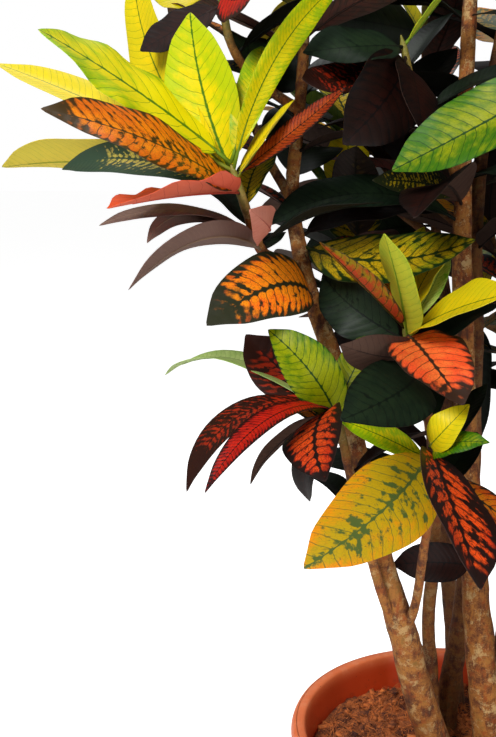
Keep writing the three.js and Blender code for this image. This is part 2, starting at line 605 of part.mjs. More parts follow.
const STEM_COLOURS = {
  front_left: 0x9aa021, left: 0x7f9a24, back: 0x2f4a26, middle: 0x3d5a24,
  tall: 0x6b4a22, front_right: 0xb06a24, right: 0x8f8a22, back_right: 0x5f6f22,
};
const feet = branchNames.filter((name) => !name.includes("_"));
addNode("pot", potSolid(), 0xc9713f, 0.5);
addNode("soil", soilSolid(feet), 0x6e3f22, 1);
for (const [stem, color] of Object.entries(STEM_COLOURS)) {
  const pieces = placed.filter((piece) => piece.stem === stem).map((piece) => piece.solid);
  addNode("stem_" + stem, wasm.Manifold.union(pieces).asOriginal().simplify(JOIN_TOLERANCE), color, 0.45);
}

export default croton;
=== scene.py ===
"""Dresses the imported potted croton: fine leaves, bark, potting soil and pot, with the studio around them.

Sizes that repeat the part's own are in millimetres, as they are there. Meshes are made in metres, in the
frame of the part: +Z up, -Y towards the photograph's viewer, the origin at the centre of the pot's base.
"""

import logging
import math
from collections.abc import Iterator
from dataclasses import dataclass, field, replace
from enum import Enum, IntEnum
from functools import partial, reduce

import bpy
import numpy as np
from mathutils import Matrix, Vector

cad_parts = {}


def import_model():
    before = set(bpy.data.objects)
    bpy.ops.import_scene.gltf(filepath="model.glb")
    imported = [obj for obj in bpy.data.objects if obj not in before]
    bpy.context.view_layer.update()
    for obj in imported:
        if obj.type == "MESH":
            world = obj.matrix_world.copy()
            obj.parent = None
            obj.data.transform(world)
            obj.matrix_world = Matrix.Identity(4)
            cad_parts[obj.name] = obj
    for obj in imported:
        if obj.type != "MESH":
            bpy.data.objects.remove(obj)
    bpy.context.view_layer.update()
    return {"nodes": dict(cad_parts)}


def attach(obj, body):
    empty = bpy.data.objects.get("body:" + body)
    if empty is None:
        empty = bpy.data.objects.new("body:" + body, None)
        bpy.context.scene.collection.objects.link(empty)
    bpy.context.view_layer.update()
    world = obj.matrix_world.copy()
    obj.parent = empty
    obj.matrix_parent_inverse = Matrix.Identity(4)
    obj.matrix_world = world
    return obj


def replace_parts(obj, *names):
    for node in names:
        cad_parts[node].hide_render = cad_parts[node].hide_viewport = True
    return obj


log = logging.getLogger("croton")

MM = 0.001

# The pot, as the part has it
RIM_RADIUS = 180.0
RIM_HEIGHT = 310.0
LIP_DROP = 26.0
MOUTH_RADIUS = 163.0
MOUTH_DROP = 9.0
WALL = 4.0
FLOOR = 5.0
INNER_CORNER = 6.0
BASE_RADIUS = 122.0
DRAIN_HOLES = 5
DRAIN_RADIUS = 6.0
DRAIN_CIRCLE = 82.0

# The soil, as the part has it
SOIL_EDGE_HEIGHT = 272.0
SOIL_MOUND = 5.0
SOIL_BUMP = 2.6
BUMP_WAVES = (0.071, 0.083, 0.19)
BUMP_SHIFT = 1.3
SEAT_GAP = 0.35

# The leaves, as the part has them
PETIOLE_SHARE = 0.14
FOLD_DEGREES = 14.0
LEAST_BEND = 0.5
TURN_DEGREES = 137.5
YOUNG_RISE = 64.0
OLD_RISE = 2.0
YOUNG_ARCH = 8.0
OLD_ARCH = 58.0
YOUNG_SHARE = 0.62
SLENDERNESS = 0.34
SLENDERNESS_SPREAD = 0.09
TURN_SPREAD = 0.08
RISE_SPREAD = 14.0
SIZE_SPREAD = 0.2
ARCH_SPREAD = 16.0
ROLL_SPREAD = 50.0
BOW_SPREAD = 16.0
RISE_POWER = 0.75
SIZE_POWER = 0.5
STEEPEST_RISE = 84.0
FIRST_SEED = 1000
SEED_STEP = 17
RULE_TURNS = (0, 13, -13, 26, -26, 39, -39)
RULE_LIFTS = (0, 11, -11, 22)
SET_TURNS = (0, 2, -2, 4, -4, 7, -7)
SET_LIFTS = (0, 2, -2, 4, -4, 7, -7)

# The gap from one side vein to the next, as a share of the blade's width and in the leaf finish's own units
VEIN_SHARE = 0.15
VEIN_UNITS = 10.0

# How light the bark is painted, by rooted branch, and on the stems that have no row here: the lower values
# lay painted shade over the stems that stand in shade
BARK_PAINTED_LIGHT = {"e": 0.95, "a": 0.8, "b": 0.5, "d": 0.3, "c": 0.15}
OTHER_PAINTED_LIGHT = 0.4

# Whole numbers that mix the seeded draws
WORD = 0xFFFFFFFF
HALF_WORD = 0xFFFF
CELL_FACTORS = (73856093, 19349663, 83492791)
SEED_FACTOR = 40503
MIX_FACTOR = 0x45D9F3B
DRAW_STEP = 0x6D2B79F5

# The photograph's camera
CAMERA_PLACE = (-0.225, -0.957, 0.874)
CAMERA_PITCH_DOWN = 10.9
IMAGE_HEIGHT_PX = 737
FOCAL_LENGTH_PX = 1000.0
SENSOR_MM = 36.0

# Short names for the types used below
Array = np.ndarray
Material = bpy.types.Material
Socket = bpy.types.NodeSocket
Colour = tuple[float, float, float, float]
Screen = tuple[int, int, int]
Place = tuple[float, float, float]

# Two numbers. For a seeded draw, its least value and how far above it the draw can reach.
Pair = tuple[float, float]


def linear(red: int, green: int, blue: int) -> Colour:
    """A screen colour, 0 to 255, as the linear colour with alpha that shaders take, by the sRGB curve."""
    shares = (channel / 255 for channel in (red, green, blue))
    return (*((s / 12.92 if s <= 0.04045 else ((s + 0.055) / 1.055) ** 2.4) for s in shares), 1.0)


@dataclass(frozen=True)
class Tone:
    """How one kind of leaf is coloured and marked, its colours as on screen, each 0 to 255.

    inner, outer: the blade beside its midrib and towards its margin.
    vein: the midrib, side veins, blotches and margin of the upper face.
    under: the lower face.
    lateral: half the width of a side vein, in the blade's own units.
    blotch: how much of the blade is blotched with the vein colour, 0 to 1.
    margin: how wide the margin's band is, as a share of the half blade.
    midrib: half the width of the midrib's band, in the same units.
    tip: the share of the blade past which the tip has the vein colour.
    rough: the upper face's roughness.
    through: how much of the upper face's pattern shows on the lower face, 0 to 1.
    """

    inner: Screen
    outer: Screen
    vein: Screen
    under: Screen
    lateral: float
    blotch: float
    margin: float
    midrib: float
    tip: float
    rough: float = 0.36
    through: float = 0.22


class LeafTone(Enum):
    """The kinds of leaf on this croton, from the youngest to the oldest."""

    LIME = Tone((238, 222, 8), (160, 198, 16), (66, 122, 14), (196, 205, 70), 0.26, 0.1, 0.02, 1.5, 1.3)
    CITRON = Tone((240, 218, 8), (190, 206, 14), (66, 118, 14), (206, 206, 74), 0.26, 0.08, 0.01, 1.5, 1.3)
    LEMON = Tone((242, 214, 14), (222, 206, 20), (96, 126, 18), (232, 214, 90), 0.22, 0.04, 0.0, 1.3, 1.4)
    GREEN = Tone((146, 154, 2), (60, 108, 1), (20, 62, 8), (104, 132, 50), 0.44, 0.16, 0.04, 1.3, 1.3)
    SPRING = Tone((196, 208, 104), (96, 168, 20), (60, 126, 24), (170, 200, 100), 0.26, 0.04, 0.0, 1.0, 1.4)
    PALE = Tone((204, 222, 140), (176, 204, 112), (126, 164, 74), (206, 224, 160), 0.3, 0.06, 0.02, 1.2, 1.4)
    MOTTLED = Tone((186, 154, 18), (230, 140, 12), (78, 96, 44), (150, 120, 90), 0.4, 0.56, 0.0, 1.0, 1.3)
    NETTED = Tone((200, 164, 18), (128, 138, 16), (18, 46, 14), (110, 110, 60), 0.9, 0.3, 0.14, 1.8, 0.95)
    SUNSET = Tone((234, 84, 36), (182, 190, 10), (50, 62, 18), (216, 110, 64),
                  0.5, 0.32, 0.08, 1.0, 1.0, 0.36, 0.85)
    AMBER = Tone((248, 146, 12), (230, 112, 12), (60, 46, 14), (144, 116, 104), 0.5, 0.4, 0.1, 1.1, 0.84)
    EMBER = Tone((252, 146, 22), (244, 88, 24), (26, 42, 28), (112, 88, 78), 0.62, 0.27, 0.16, 2.3, 0.84)
    FLAME = Tone((250, 124, 56), (242, 86, 42), (44, 34, 26), (124, 90, 80), 0.46, 0.2, 0.12, 1.8, 0.9)
    CINDER = Tone((240, 84, 26), (206, 52, 20), (20, 18, 16), (110, 80, 74), 0.95, 0.32, 0.24, 2.6, 0.84)
    COPPER = Tone((190, 78, 20), (150, 46, 16), (22, 16, 12), (110, 80, 74), 0.85, 0.28, 0.12, 1.5, 1.0)
    CORAL = Tone((255, 108, 72), (252, 96, 34), (180, 50, 40), (230, 130, 100), 0.3, 0.04, 0.03, 0.9, 1.2)
    SALMON = Tone((230, 160, 138), (216, 130, 108), (190, 100, 88), (222, 150, 130),
                  0.26, 0.04, 0.0, 0.9, 1.4)
    DUSK = Tone((126, 98, 90), (106, 80, 74), (150, 124, 100), (130, 104, 96), 0.34, 0.06, 0.0, 0.9, 1.4)
    RUBY = Tone((206, 36, 18), (150, 20, 16), (36, 14, 12), (120, 86, 80), 0.6, 0.26, 0.2, 1.6, 0.92)
    BRONZE = Tone((196, 170, 20), (206, 110, 18), (22, 36, 18), (96, 72, 64), 1.0, 0.54, 0.26, 2.6, 0.78)
    SLATE = Tone((206, 186, 84), (214, 150, 96), (46, 70, 56), (112, 128, 116), 1.0, 0.44, 0.3, 2.4, 0.6)
    RUST = Tone((186, 48, 18), (116, 38, 18), (46, 22, 14), (136, 108, 98), 0.6, 0.5, 0.16, 1.3, 0.72)
    FOREST = Tone((34, 50, 30), (24, 38, 25), (16, 26, 17), (54, 46, 40), 0.4, 0.26, 0.06, 1.0, 1.1, 0.4, 0.4)
    MAROON = Tone((44, 16, 9), (28, 12, 7), (14, 7, 6), (96, 70, 58), 0.5, 0.26, 0.08, 1.0, 1.1, 0.46, 0.2)


# Branches: name, the stem they belong to and their path of points x, y, z, radius
BRANCHES = {
    "a": ("front_left", ((-16, -10, 185, 17), (-25, -15, 270, 17), (-54, -28, 365, 15.5),
        (-71, -34, 427, 14.5), (-93, -40, 503, 11), (-117, -45, 600, 10), (-141, -40, 694, 9),
        (-169, -25, 774, 8), (-183, 0, 852, 6.5), (-176, 20, 935, 5.5), (-172, 30, 1020, 5),
        (-180, 38, 1120, 4))),
    "a_left": ("front_left", ((-71, -34, 427, 6), (-88, -46, 458, 5.5), (-104, -60, 505, 5),
        (-132, -95, 606, 4.5), (-142, -105, 648, 4), (-152, -118, 686, 3.5))),
    "a_near": ("front_left", ((-71, -34, 427, 5), (-64, -55, 469, 4.5), (-64, -85, 530, 4),
        (-66, -120, 590, 4), (-72, -142, 650, 3.5))),
    "a_high": ("front_left", ((-169, -25, 774, 5.5), (-196, -40, 797, 5), (-212, -50, 807, 5),
        (-222, -60, 831, 4.5), (-240, -72, 885, 3.5))),
    "a_tip": ("front_left", ((-176, 20, 935, 4.5), (-215, 5, 960, 4.5), (-240, -15, 990, 4),
        (-250, -20, 1040, 3.5))),
    "a_back": ("front_left", ((-183, 0, 852, 5), (-205, 45, 890, 4.5), (-222, 88, 935, 4),
        (-226, 104, 980, 3.5))),
    "b": ("left", ((-20, 42, 185, 8), (-25, 40, 316, 7.5), (-33, 37, 410, 7), (-32, 25, 500, 6.5),
        (-50, -30, 630, 5), (-74, -68, 700, 4.5), (-88, -88, 750, 3.5))),
    "b_back": ("left", ((-32, 25, 500, 5), (-62, 62, 600, 4.5), (-88, 94, 690, 4.5), (-102, 112, 770, 4),
        (-112, 122, 840, 3.5))),
    "c": ("back", ((18, 108, 185, 9.5), (14, 112, 310, 9), (4, 128, 440, 8.5), (-2, 150, 580, 8),
        (6, 184, 700, 7), (-5, 212, 800, 6), (-16, 224, 880, 5), (-22, 224, 970, 4.5),
        (-28, 214, 1070, 4))),
    "c_low": ("back", ((-2, 150, 580, 5), (24, 190, 640, 4.5), (40, 222, 690, 4), (44, 236, 740, 3.5))),
    "c_left": ("back", ((-5, 212, 800, 4.5), (-56, 230, 840, 4.5), (-92, 238, 885, 4),
        (-100, 238, 930, 3.5))),
    "d": ("middle", ((-12, 62, 185, 12), (-9, 60, 262, 12), (-2, 60, 329, 11.5), (6, 65, 379, 11),
        (11, 70, 418, 10.5), (15, 75, 508, 9.5), (15, 80, 640, 8.5), (14, 86, 746, 8), (12, 92, 809, 7.5),
        (20, 105, 930, 6.5), (40, 118, 1050, 5.5), (52, 125, 1150, 4.5), (55, 128, 1215, 4))),
    "d_low": ("middle", ((15, 80, 640, 5), (-18, 108, 672, 4.5), (-46, 142, 702, 4), (-58, 162, 750, 3.5))),
    "d_left": ("middle", ((12, 92, 809, 5), (-30, 122, 846, 4.5), (-74, 150, 880, 4),
        (-92, 164, 935, 3.5))),
    "d_right": ("middle", ((20, 105, 930, 4.5), (58, 158, 975, 4.5), (84, 196, 1015, 4),
        (92, 210, 1065, 3.5))),
    "e": ("tall", ((36, -6, 185, 20), (30, -5, 290, 18.5), (19, -5, 352, 16), (8, 2, 450, 14),
        (-4, 10, 574, 12), (-15, 20, 764, 10), (-17, 25, 851, 8.5), (-16, 35, 964, 7.5),
        (-12, 48, 1060, 7), (-6, 55, 1180, 6), (0, 58, 1270, 5), (4, 60, 1330, 4))),
    "e_left": ("tall", ((-17, 25, 851, 5), (-40, 10, 905, 4.5), (-70, 0, 950, 4), (-86, -6, 1000, 3.5))),
    "e_crown": ("tall", ((-12, 48, 1060, 5), (-48, 22, 1105, 4.5), (-82, -8, 1150, 4),
        (-94, -18, 1205, 3.5))),
    "f": ("front_right", ((62, -34, 185, 10), (56, -36, 330, 9.5), (44, -44, 480, 8.5),
        (50, -66, 620, 7.5), (62, -88, 760, 6.5), (60, -104, 870, 5.5), (56, -112, 980, 5),
        (46, -104, 1080, 4.5), (42, -98, 1150, 4))),
    "f_low": ("front_right", ((50, -66, 620, 5), (80, -108, 662, 4.5), (104, -142, 708, 4),
        (110, -158, 755, 3.5))),
    "f_side": ("front_right", ((62, -88, 760, 5), (100, -128, 818, 4.5), (128, -158, 878, 4),
        (136, -170, 930, 3.5))),
    "f_near": ("front_right", ((60, -104, 870, 4.5), (50, -118, 910, 4), (42, -122, 962, 3.5))),
    "g": ("right", ((78, 22, 185, 14), (80, 22, 290, 13.5), (96, 20, 400, 12), (118, 10, 520, 10.5),
        (140, -5, 640, 9), (165, -15, 760, 8), (180, -10, 880, 6.5), (178, 5, 1000, 5.5),
        (168, 14, 1090, 4.5), (162, 18, 1150, 4))),
    "g_low": ("right", ((118, 10, 520, 6), (150, -28, 570, 5), (176, -66, 622, 4.5), (188, -90, 675, 3.5))),
    "g_out": ("right", ((165, -15, 760, 5), (200, -40, 792, 4.5), (234, -62, 832, 4),
        (256, -76, 885, 3.5))),
    "g_back": ("right", ((140, -5, 640, 5), (184, 22, 688, 4.5), (220, 46, 738, 4), (234, 54, 790, 3.5))),
    "g_high": ("right", ((178, 5, 1000, 4.5), (212, 26, 1036, 4.5), (236, 40, 1080, 4),
        (242, 44, 1125, 3.5))),
    "h": ("back_right", ((50, 74, 185, 11), (54, 78, 300, 10.5), (70, 92, 430, 9.5), (88, 112, 560, 8.5),
        (106, 128, 690, 7.5), (118, 138, 810, 6.5), (124, 136, 930, 5.5), (120, 130, 1030, 4.5),
        (116, 126, 1100, 4))),
    "h_low": ("back_right", ((88, 112, 560, 5), (120, 148, 618, 4.5), (146, 178, 670, 4),
        (154, 192, 722, 3.5))),
    "h_back": ("back_right", ((106, 128, 690, 5), (80, 170, 742, 4.5), (56, 196, 800, 4),
        (52, 204, 855, 3.5))),
    "h_out": ("back_right", ((118, 138, 810, 5), (164, 166, 856, 4.5), (198, 186, 906, 4),
        (208, 190, 960, 3.5))),
}

# Leaves set one by one: branch, place along it, tip, width, arch, roll, sideways bow and tone
SET_LEAVES = (
    ("a_high", 1.0, (-390, -136, 987), 110, 20, -35, -18, LeafTone.LIME),
    ("a_high", 0.97, (-456, -7, 975), 50, 10, -25, 12, LeafTone.LEMON),
    ("a_high", 0.88, (-376, -207, 922), 66, 15, -45, 14, LeafTone.AMBER),
    ("a_high", 0.92, (-275, -50, 1013), 70, -30, -90, -4, LeafTone.CITRON),
    ("a_high", 0.89, (-335, -169, 849), 82, 15, 10, 14, LeafTone.CORAL),
    ("a_high", 0.46, (-321, -159, 784), 34, 80, 45, 10, LeafTone.DUSK),
    ("a_high", 0.89, (-400, 1, 880), 40, 45, -45, 18, LeafTone.SLATE),
    ("a_high", 0.94, (-483, 112, 883), 72, 15, 25, 4, LeafTone.LEMON),
    ("a_high", 0.945, (-334, 56, 1072), 54, -20, -80, 20, LeafTone.LEMON),
    ("a_high", 0.97, (-137, -29, 1045), 30, 55, 105, -16, LeafTone.LIME),
    ("a_high", 1.0, (-212, -9, 990), 32, 60, 10, -12, LeafTone.LIME),
    ("a_high", 0.95, (-143, -87, 947), 26, -5, 50, 0, LeafTone.COPPER),
    ("a_high", 0.74, (-224, -159, 848), 36, -40, 65, 16, LeafTone.SALMON),
    ("a_high", 0.66, (-350, -111, 833), 30, 60, -15, 16, LeafTone.DUSK),
    ("a_high", 0.6, (-306, -151, 821), 20, 80, 140, -16, LeafTone.DUSK),
    ("a", 0.62, (-259, -143, 753), 64, 75, -55, 18, LeafTone.EMBER),
    ("a", 0.68, (-29, -91, 820), 82, -45, 30, -6, LeafTone.NETTED),
    ("a_left", 0.85, (-308, 25, 678), 40, 80, -5, 10, LeafTone.PALE),
    ("a_left", 0.85, (-208, -111, 745), 48, 35, -75, 18, LeafTone.GREEN),
    ("a_left", 0.96, (-227, -67, 734), 56, -40, -50, -8, LeafTone.RUST),
    ("a_left", 0.95, (-274, -192, 626), 38, 80, -10, -18, LeafTone.RUST),
    ("a_left", 0.93, (-258, -229, 637), 24, 80, -15, 2, LeafTone.RUBY),
    ("a_left", 0.9, (-223, -134, 614), 28, 70, 45, 0, LeafTone.MAROON),
    ("a_left", 0.96, (-165, -212, 641), 60, 35, 35, -12, LeafTone.CINDER),
    ("a_left", 0.88, (-170, -108, 590), 62, 80, -20, 10, LeafTone.MAROON),
    ("a_near", 0.98, (-184, -262, 590), 70, 15, -35, 18, LeafTone.MOTTLED),
    ("a_near", 1.0, (-52, -259, 572), 80, 45, -35, -6, LeafTone.CINDER),
    ("a_near", 0.9, (18, -150, 566), 54, 25, 10, -8, LeafTone.EMBER),
    ("a_near", 1.0, (-45, -165, 692), 32, -30, 75, -16, LeafTone.LEMON),
    ("a_near", 0.93, (-32, -185, 665), 26, 60, 45, -14, LeafTone.GREEN),
    ("a_near", 0.94, (-151, -164, 679), 26, 10, -55, 0, LeafTone.LIME),
    ("b", 0.93, (-116, -151, 829), 50, -10, -40, 4, LeafTone.LIME),
    ("b", 0.97, (-45, -46, 808), 26, 15, 0, -8, LeafTone.SPRING),
    ("b", 0.95, (-28, -193, 784), 60, 15, 35, 0, LeafTone.LEMON),
    ("b", 0.97, (-166, -132, 821), 60, 0, -10, 2, LeafTone.SUNSET),
    ("b", 0.95, (-56, -191, 697), 66, 45, 10, -8, LeafTone.FLAME),
    ("b", 0.93, (-155, -22, 785), 54, 0, -75, 18, LeafTone.FOREST),
    ("b", 0.83, (-153, -197, 686), 66, 15, -40, 18, LeafTone.FOREST),
    ("b", 0.9, (-149, -142, 737), 44, -30, 55, 15, LeafTone.MAROON),
    ("f_near", 0.97, (-106, -112, 878), 66, -5, -55, -6, LeafTone.GREEN),
    ("a_tip", 1.0, (-320, 50, 1058), 56, -40, -35, -16, LeafTone.LEMON),
    ("a_tip", 0.97, (-210, -122, 1030), 48, -50, 65, -2, LeafTone.RUBY),
    ("a_tip", 0.9, (-321, -30, 983), 44, 0, -45, 0, LeafTone.MAROON),
    ("e", 0.3, (-81, -13, 492), 42, 45, -65, 12, LeafTone.MAROON),
    ("e", 0.52, (-207, -33, 830), 56, 65, -30, 4, LeafTone.FOREST),
    ("e", 0.55, (-115, -55, 870), 30, 15, -80, 6, LeafTone.BRONZE),
    ("e_left", 0.93, (-177, -42, 980), 60, 5, -35, 14, LeafTone.FOREST),
    ("e_left", 0.92, (-180, -88, 954), 42, -45, -40, -18, LeafTone.RUST),
    ("e_left", 0.88, (-145, -92, 900), 72, 10, -65, 14, LeafTone.MAROON),
    ("e_left", 0.82, (-79, -94, 910), 52, 40, -40, 0, LeafTone.MAROON),
)

# Large leaves inside the crown, in the same columns. They are painted darker, as painted shade
INNER_LEAVES = (
    ("c_low", 0.75, (40, 80, 600), 72, 30, 60, 0, LeafTone.FOREST),
    ("c", 0.65, (-160, 300, 770), 72, 30, -60, 0, LeafTone.FOREST),
    ("c_low", 0.85, (-125, 260, 670), 72, 30, -60, 0, LeafTone.MAROON),
    ("c", 0.95, (-140, 150, 1038), 84, 10, -60, 0, LeafTone.FOREST),
    ("c", 0.74, (-98, 160, 936), 76, 10, -60, 0, LeafTone.MAROON),
    ("a_back", 0.9, (-162, 100, 999), 62, 10, 75, 0, LeafTone.FOREST),
)

# Leafy stretches: branch, where its leaves start and end, how many, length, first compass and sector
LEAFY = (
    ("a", 0.8, 1, 10, 165, 20, 360),
    ("a_left", 0.45, 1, 5, 120, 20, 140),
    ("a_near", 0.55, 1, 3, 105, 10, 150),
    ("a_high", 0.4, 1, 5, 125, 0, 150),
    ("a_tip", 0.3, 1, 6, 120, 20, 130),
    ("a_back", 0.3, 1, 8, 130, -10, 200),
    ("b", 0.72, 1, 6, 120, 0, 170),
    ("b_back", 0.5, 1, 9, 175, 30, 300),
    ("c", 0.62, 1, 9, 175, -10, 360),
    ("c_low", 0.25, 1, 7, 150, -20, 210),
    ("c_left", 0.3, 1, 8, 178, 20, 230),
    ("d", 0.74, 1, 10, 185, 40, 360),
    ("d_low", 0.3, 1, 7, 135, 40, 250),
    ("d_left", 0.3, 1, 8, 172, 0, 360),
    ("d_right", 0.3, 1, 8, 165, -30, 260),
    ("e", 0.78, 1, 11, 185, 80, 360),
    ("e_left", 0.2, 1, 6, 120, -30, 190),
    ("e_crown", 0.3, 1, 8, 160, 60, 360),
    ("f", 0.66, 1, 10, 175, -130, 360),
    ("f_low", 0.3, 1, 8, 165, -110, 190),
    ("f_side", 0.3, 1, 9, 175, -120, 220),
    ("f_near", 0.2, 1, 5, 140, -90, 150),
    ("g", 0.7, 1, 10, 180, -60, 360),
    ("g_low", 0.3, 1, 8, 170, -150, 250),
    ("g_out", 0.3, 1, 10, 185, -140, 280),
    ("g_back", 0.3, 1, 8, 175, -70, 250),
    ("g_high", 0.3, 1, 7, 170, -60, 300),
    ("h", 0.66, 1, 9, 175, 10, 360),
    ("h_low", 0.25, 1, 8, 170, -20, 260),
    ("h_back", 0.3, 1, 7, 160, 20, 260),
    ("h_out", 0.3, 1, 7, 180, -40, 260),
    ("a", 0.64, 0.79, 5, 165, -30, 200),
    ("e", 0.52, 0.74, 6, 170, 20, 200),
    ("d", 0.56, 0.72, 6, 175, 20, 330),
    ("b", 0.55, 0.7, 3, 150, 60, 150),
)


def placed(name: str, data: bpy.types.ID) -> bpy.types.Object:
    """A new object in the scene that holds a mesh, lamp or camera."""
    made = bpy.data.objects.new(name, data)
    bpy.context.scene.collection.objects.link(made)
    return made


def smooth(low: float, high: float, value: Array) -> Array:
    """A soft step: 0 below low, 1 above high, and 3x^2 - 2x^3 between."""
    x = np.clip((value - low) / (high - low), 0.0, 1.0)
    return x * x * (3.0 - 2.0 * x)


def mix(first: float, second: float, share: float) -> float:
    """A number between two others."""
    return first + (second - first) * share


def spread(pair: Pair, draw: Array) -> Array:
    """The values that draws between 0 and 1 give: the least value, plus the draw times its reach."""
    return pair[0] + pair[1] * draw


def centred(reach: float, draw: Array | float) -> Array | float:
    """The values that draws between 0 and 1 give, half of the reach to either side of 0."""
    return reach * (draw - 0.5)


def around(count: int) -> Array:
    """Evenly spaced angles round a ring, in radians."""
    return np.linspace(0, 2 * np.pi, count, endpoint=False)


def cell_draw(cell: Array, seed: int) -> Array:
    """A fixed draw between -1 and 1 for each whole-numbered cell.

    Args:
        cell: whole numbers, the last axis holding x, y and z.
        seed: a different seed gives other draws.

    Returns:
        One draw for each cell, from rounds of multiply and shift.
    """
    x, y, z = np.moveaxis(cell.astype(np.int64), -1, 0)
    mixed = x * CELL_FACTORS[0] ^ y * CELL_FACTORS[1] ^ z * CELL_FACTORS[2] ^ seed * SEED_FACTOR
    mixed &= WORD
    for _ in range(2):
        mixed = (((mixed >> 16) ^ mixed) * MIX_FACTOR) & WORD
    return ((mixed >> 16) ^ mixed & HALF_WORD) / (HALF_WORD / 2) - 1.0


def value_noise(points: Array, seed: int) -> Array:
    """Smooth noise between -1 and 1: the draws at the corners of a point's cell, blended by a soft step.

    Args:
        points: places, the last axis holding x, y and z, one unit to a cell.
        seed: the noise's seed.

    Returns:
        One value for each point.
    """
    base = np.floor(points)
    share = points - base
    share = share * share * (3.0 - 2.0 * share)
    total = np.zeros(points.shape[:-1])
    for corner in np.ndindex(2, 2, 2):
        weight = np.prod(np.where(np.array(corner, bool), share, 1.0 - share), axis=-1)
        total += weight * cell_draw(base + np.array(corner), seed)
    return total


def layered_noise(points: Array, seed: int, layers: tuple[Pair, ...]) -> Array:
    """The sum of value noises, each layer with its depth and the size of its cells."""
    return sum(depth * value_noise(points / size, seed + k) for k, (depth, size) in enumerate(layers))


def route(name: str, shares: Array) -> tuple[Array, Array, Array]:
    """A branch's centre line, as the part draws it.

    The line is the uniform Catmull-Rom curve through the path's points, with a mirrored point beyond each
    end, and the radius runs straight from one point to the next.

    Args:
        name: the branch.
        shares: places along it, 0 at its foot and 1 at its tip.

    Returns:
        Centres (n, 3), unit tangents (n, 3) and radii (n,), in millimetres.
    """
    path = np.array(BRANCHES[name][1], float)
    points = path[:, :3]
    extended = np.vstack([2 * points[0] - points[1], points, 2 * points[-1] - points[-2]])
    place = np.clip(shares, 0.0, 1.0) * (len(points) - 1)
    index = np.minimum(place.astype(int), len(points) - 2)
    w = (place - index)[:, None]
    p0, p1, p2, p3 = (extended[index + k] for k in range(4))
    square = 2 * p0 - 5 * p1 + 4 * p2 - p3
    cube = 3 * p1 - p0 - 3 * p2 + p3
    centre = 0.5 * (2 * p1 + (p2 - p0) * w + square * w**2 + cube * w**3)
    ahead = 0.5 * ((p2 - p0) + 2 * square * w + 3 * cube * w**2)
    radius = path[index, 3] + (path[index + 1, 3] - path[index, 3]) * w[:, 0]
    return centre, ahead / np.linalg.norm(ahead, axis=1, keepdims=True), radius


@dataclass(frozen=True)
class Leaf:
    """One leaf as the part places it, in millimetres and degrees.

    inside: 1 on a leaf in the shade of the crown, else 0.
    """

    branch: str
    root: Place
    tip: Place
    width: float
    arch: float
    roll: float
    bow: float
    tone: LeafTone
    inside: float = 0.0

    def turned(self, turn: float, lift: float) -> "Leaf":
        """The same leaf turned about its root by a compass step and lifted by a rise step, in degrees."""
        reach = np.subtract(self.tip, self.root)
        length = float(np.linalg.norm(reach))
        compass = math.atan2(reach[1], reach[0]) + math.radians(turn)
        rise = min(math.radians(STEEPEST_RISE), math.asin(reach[2] / length) + math.radians(lift))
        return self.pointed(length, compass, rise)

    def pointed(self, length: float, compass: float, rise: float) -> "Leaf":
        """The same leaf with its tip at a length, compass and rise from its root, the angles in radians."""
        flat = length * math.cos(rise)
        step = (flat * math.cos(compass), flat * math.sin(compass), length * math.sin(rise))
        return replace(self, tip=tuple(np.add(self.root, step)))


def draws_from(seed: int) -> Iterator[float]:
    """The part's own seeded draws between 0 and 1: a counter, mixed by multiply and shift on 32 bits."""
    state = seed & WORD
    while True:
        state = (state + DRAW_STEP) & WORD
        mixed = ((state ^ state >> 15) * (state | 1)) & WORD
        mixed ^= (mixed + (((mixed ^ mixed >> 7) * (mixed | 61)) & WORD)) & WORD
        yield (mixed ^ mixed >> 14) / (WORD + 1)


